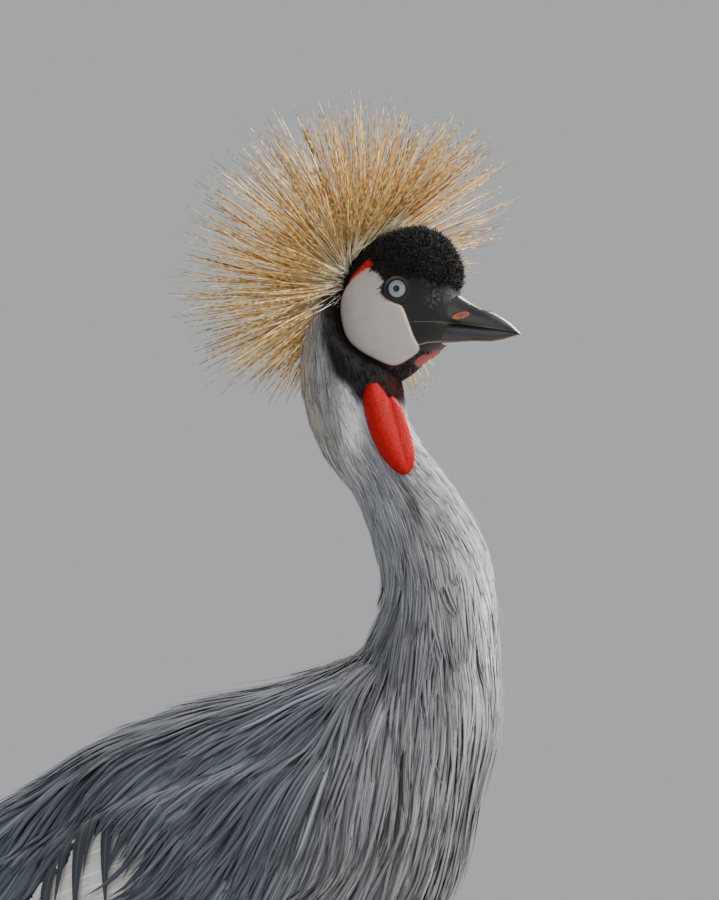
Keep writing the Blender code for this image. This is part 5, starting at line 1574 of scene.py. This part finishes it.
def build_crest_down(centres, draw):
    """Pale down that hides the roots of the crest's feathers."""
    count = 3 * len(centres)
    rings = 4
    roots = np.repeat(centres[:, 0], 3, axis=0) + draw.normal(0, 1.6, (count, 3))
    aims = np.repeat(unit(centres[:, 2] - centres[:, 0]), 3, axis=0)
    aims = unit(aims + draw.normal(0, 0.13, aims.shape))
    reach = np.linspace(0, 1, rings) * draw.uniform(12, 38, count)[:, None]
    lines = roots[:, None, :] + aims[:, None, :] * reach[..., None]
    ups = unit(draw.normal(0, 1, (count, 1, 3)))
    half = np.tile(0.40 * profile("hair", rings), (count, 1))
    tints = shaded(np.tile(FLUFF, (count, 1)), rings, draw, 0.14, 1)
    fluff = plume_material("crest_fluff", 0.2, 0.15, 0.85, 3, 2)
    strands("crest_down", lines, ups, half, half * 0.8, tints, unwrap_head(roots), fluff, "crest")


def build_legs():
    """Scaled legs, toes and claws."""
    scales = leg_material()
    horn = claw_material()
    for side, word in SIDES:
        rings = limb_form(np.insert(LEG_ROWS, 1, side * LEG_SPACING, axis=1), 32, 6)
        leg = new_mesh("leg_skin_" + word, *loft(rings), scales, "leg_skin")
        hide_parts("leg_" + word)
        heel = np.array((ANKLE_FORWARD, side * LEG_SPACING, 0))
        forms = []
        for label, (turn, length, thick, pads) in TOES.items():
            angle = math.radians(turn) * -side
            along = np.array((math.cos(angle), math.sin(angle), 0))
            left = np.array((-along[1], along[0], 0))
            rings = []
            for part in np.linspace(0, 1, 40):
                pad = 0.5 + 0.5 * math.cos(part * pads * 2 * math.pi)
                wide = thick * (1 - 0.38 * part) * (0.84 + 0.16 * pad)
                height = thick * 1.75 * (1 - 0.5 * part) * (0.93 + 0.07 * pad)
                centre = heel + along * length * part + Z_AXIS * height * 0.45
                rings.append(oval(centre, left, Z_AXIS, (wide, height * 0.48, height * 0.45), 24, 2.6))
            forms.append(rings)
            build_claw(label + "_" + word, heel + along * length, along, left, horn)
        hub = [oval(heel + Z_AXIS * rise, X_AXIS, Y_AXIS, (size, size), 32) for rise, size in HUB_ROWS]
        points, faces = shell([*forms, hub], 1.1, 4)
        points[:, 2] = np.maximum(points[:, 2], 0)
        foot = new_mesh("foot_skin_" + word, points, faces, scales, "leg_skin")
        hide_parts("foot_" + word)


def build_claw(ending, root, along, left, horn):
    """One claw, curved down to its point."""
    rings = []
    for part, wide, low, high in smooth_rows(CLAW_SECTIONS, 6):
        spot = root + along * CLAW_LENGTH * part + Z_AXIS * (low + high) * 0.5
        rings.append(oval(spot, left, Z_AXIS, (wide, (high - low) * 0.5), 20))
    name = "claw_" + ending
    claw = new_mesh(name + "_horn", *loft(rings), horn, "claw")
    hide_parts(name)


# Stage


def aimed(name, data, spot, target):
    """A lamp or camera at a place, turned to a target."""
    item = linked(name, data)
    item.location = spot
    item.rotation_euler = (target - spot).to_track_quat("-Z", "Y").to_euler()
    return item


def build_stage():
    """A pale floor that fades into the backdrop, soft lights and the camera."""
    world = bpy.data.worlds.new("studio")
    bpy.context.scene.world = world
    world.use_nodes = True
    background = world.node_tree.nodes["Background"]
    background.inputs[0].default_value = BACKDROP
    background.inputs[1].default_value = BACKDROP_STRENGTH
    size = 60
    mesh = bpy.data.meshes.new("floor")
    corners = [(-size, -size, 0), (size, -size, 0), (size, size, 0), (-size, size, 0)]
    mesh.from_pydata(corners, [], [(0, 1, 2, 3)])
    floor = linked("floor", mesh)
    made = Nodes("floor_paint")
    length = made.add("ShaderNodeVectorMath", operation="LENGTH")
    made.link(made.add("ShaderNodeNewGeometry").outputs["Position"], length.inputs[0])
    far = made.ramp(made.times(length.outputs["Value"], 0.05), (0.08, 0), (0.3, 1))
    glow = made.add("ShaderNodeEmission", Strength=BACKDROP_STRENGTH, Color=BACKDROP)
    both = made.add("ShaderNodeMixShader")
    made.feed(both, _0=far, _1=made.shader.outputs[0], _2=glow.outputs[0])
    made.link(both.outputs[0], made.tree.nodes["Material Output"].inputs[0])
    mesh.materials.append(made.finish((0.66, 0.66, 0.65), roughness=0.8))
    target = Vector(in_frame((0, 0, 850)))
    for name, (spot, width, power, colour) in LAMPS.items():
        lamp = bpy.data.lights.new(name, "AREA")
        lamp.size = width
        lamp.energy = power
        lamp.color = colour
        aimed(name, lamp, target + Vector(spot), target)
    camera = bpy.data.cameras.new("camera")
    camera.sensor_fit = "VERTICAL"
    camera.angle_y = 2 * math.atan(PICTURE_HEIGHT * 0.5 / CAMERA_DISTANCE)
    camera.clip_end = 200
    turn = math.radians(CAMERA_AZIMUTH_DEG)
    away = Vector((math.sin(turn), -math.cos(turn), 0)) * CAMERA_DISTANCE
    centre = Vector(in_frame(PICTURE_CENTRE))
    bpy.context.scene.camera = aimed("camera", camera, centre + away, centre)


build_stage()
build_coat(*build_skin())
build_wings()
build_tail()
build_face()
build_cap()
build_bill()
build_eyes()
build_wattle()
build_crest()
build_legs()
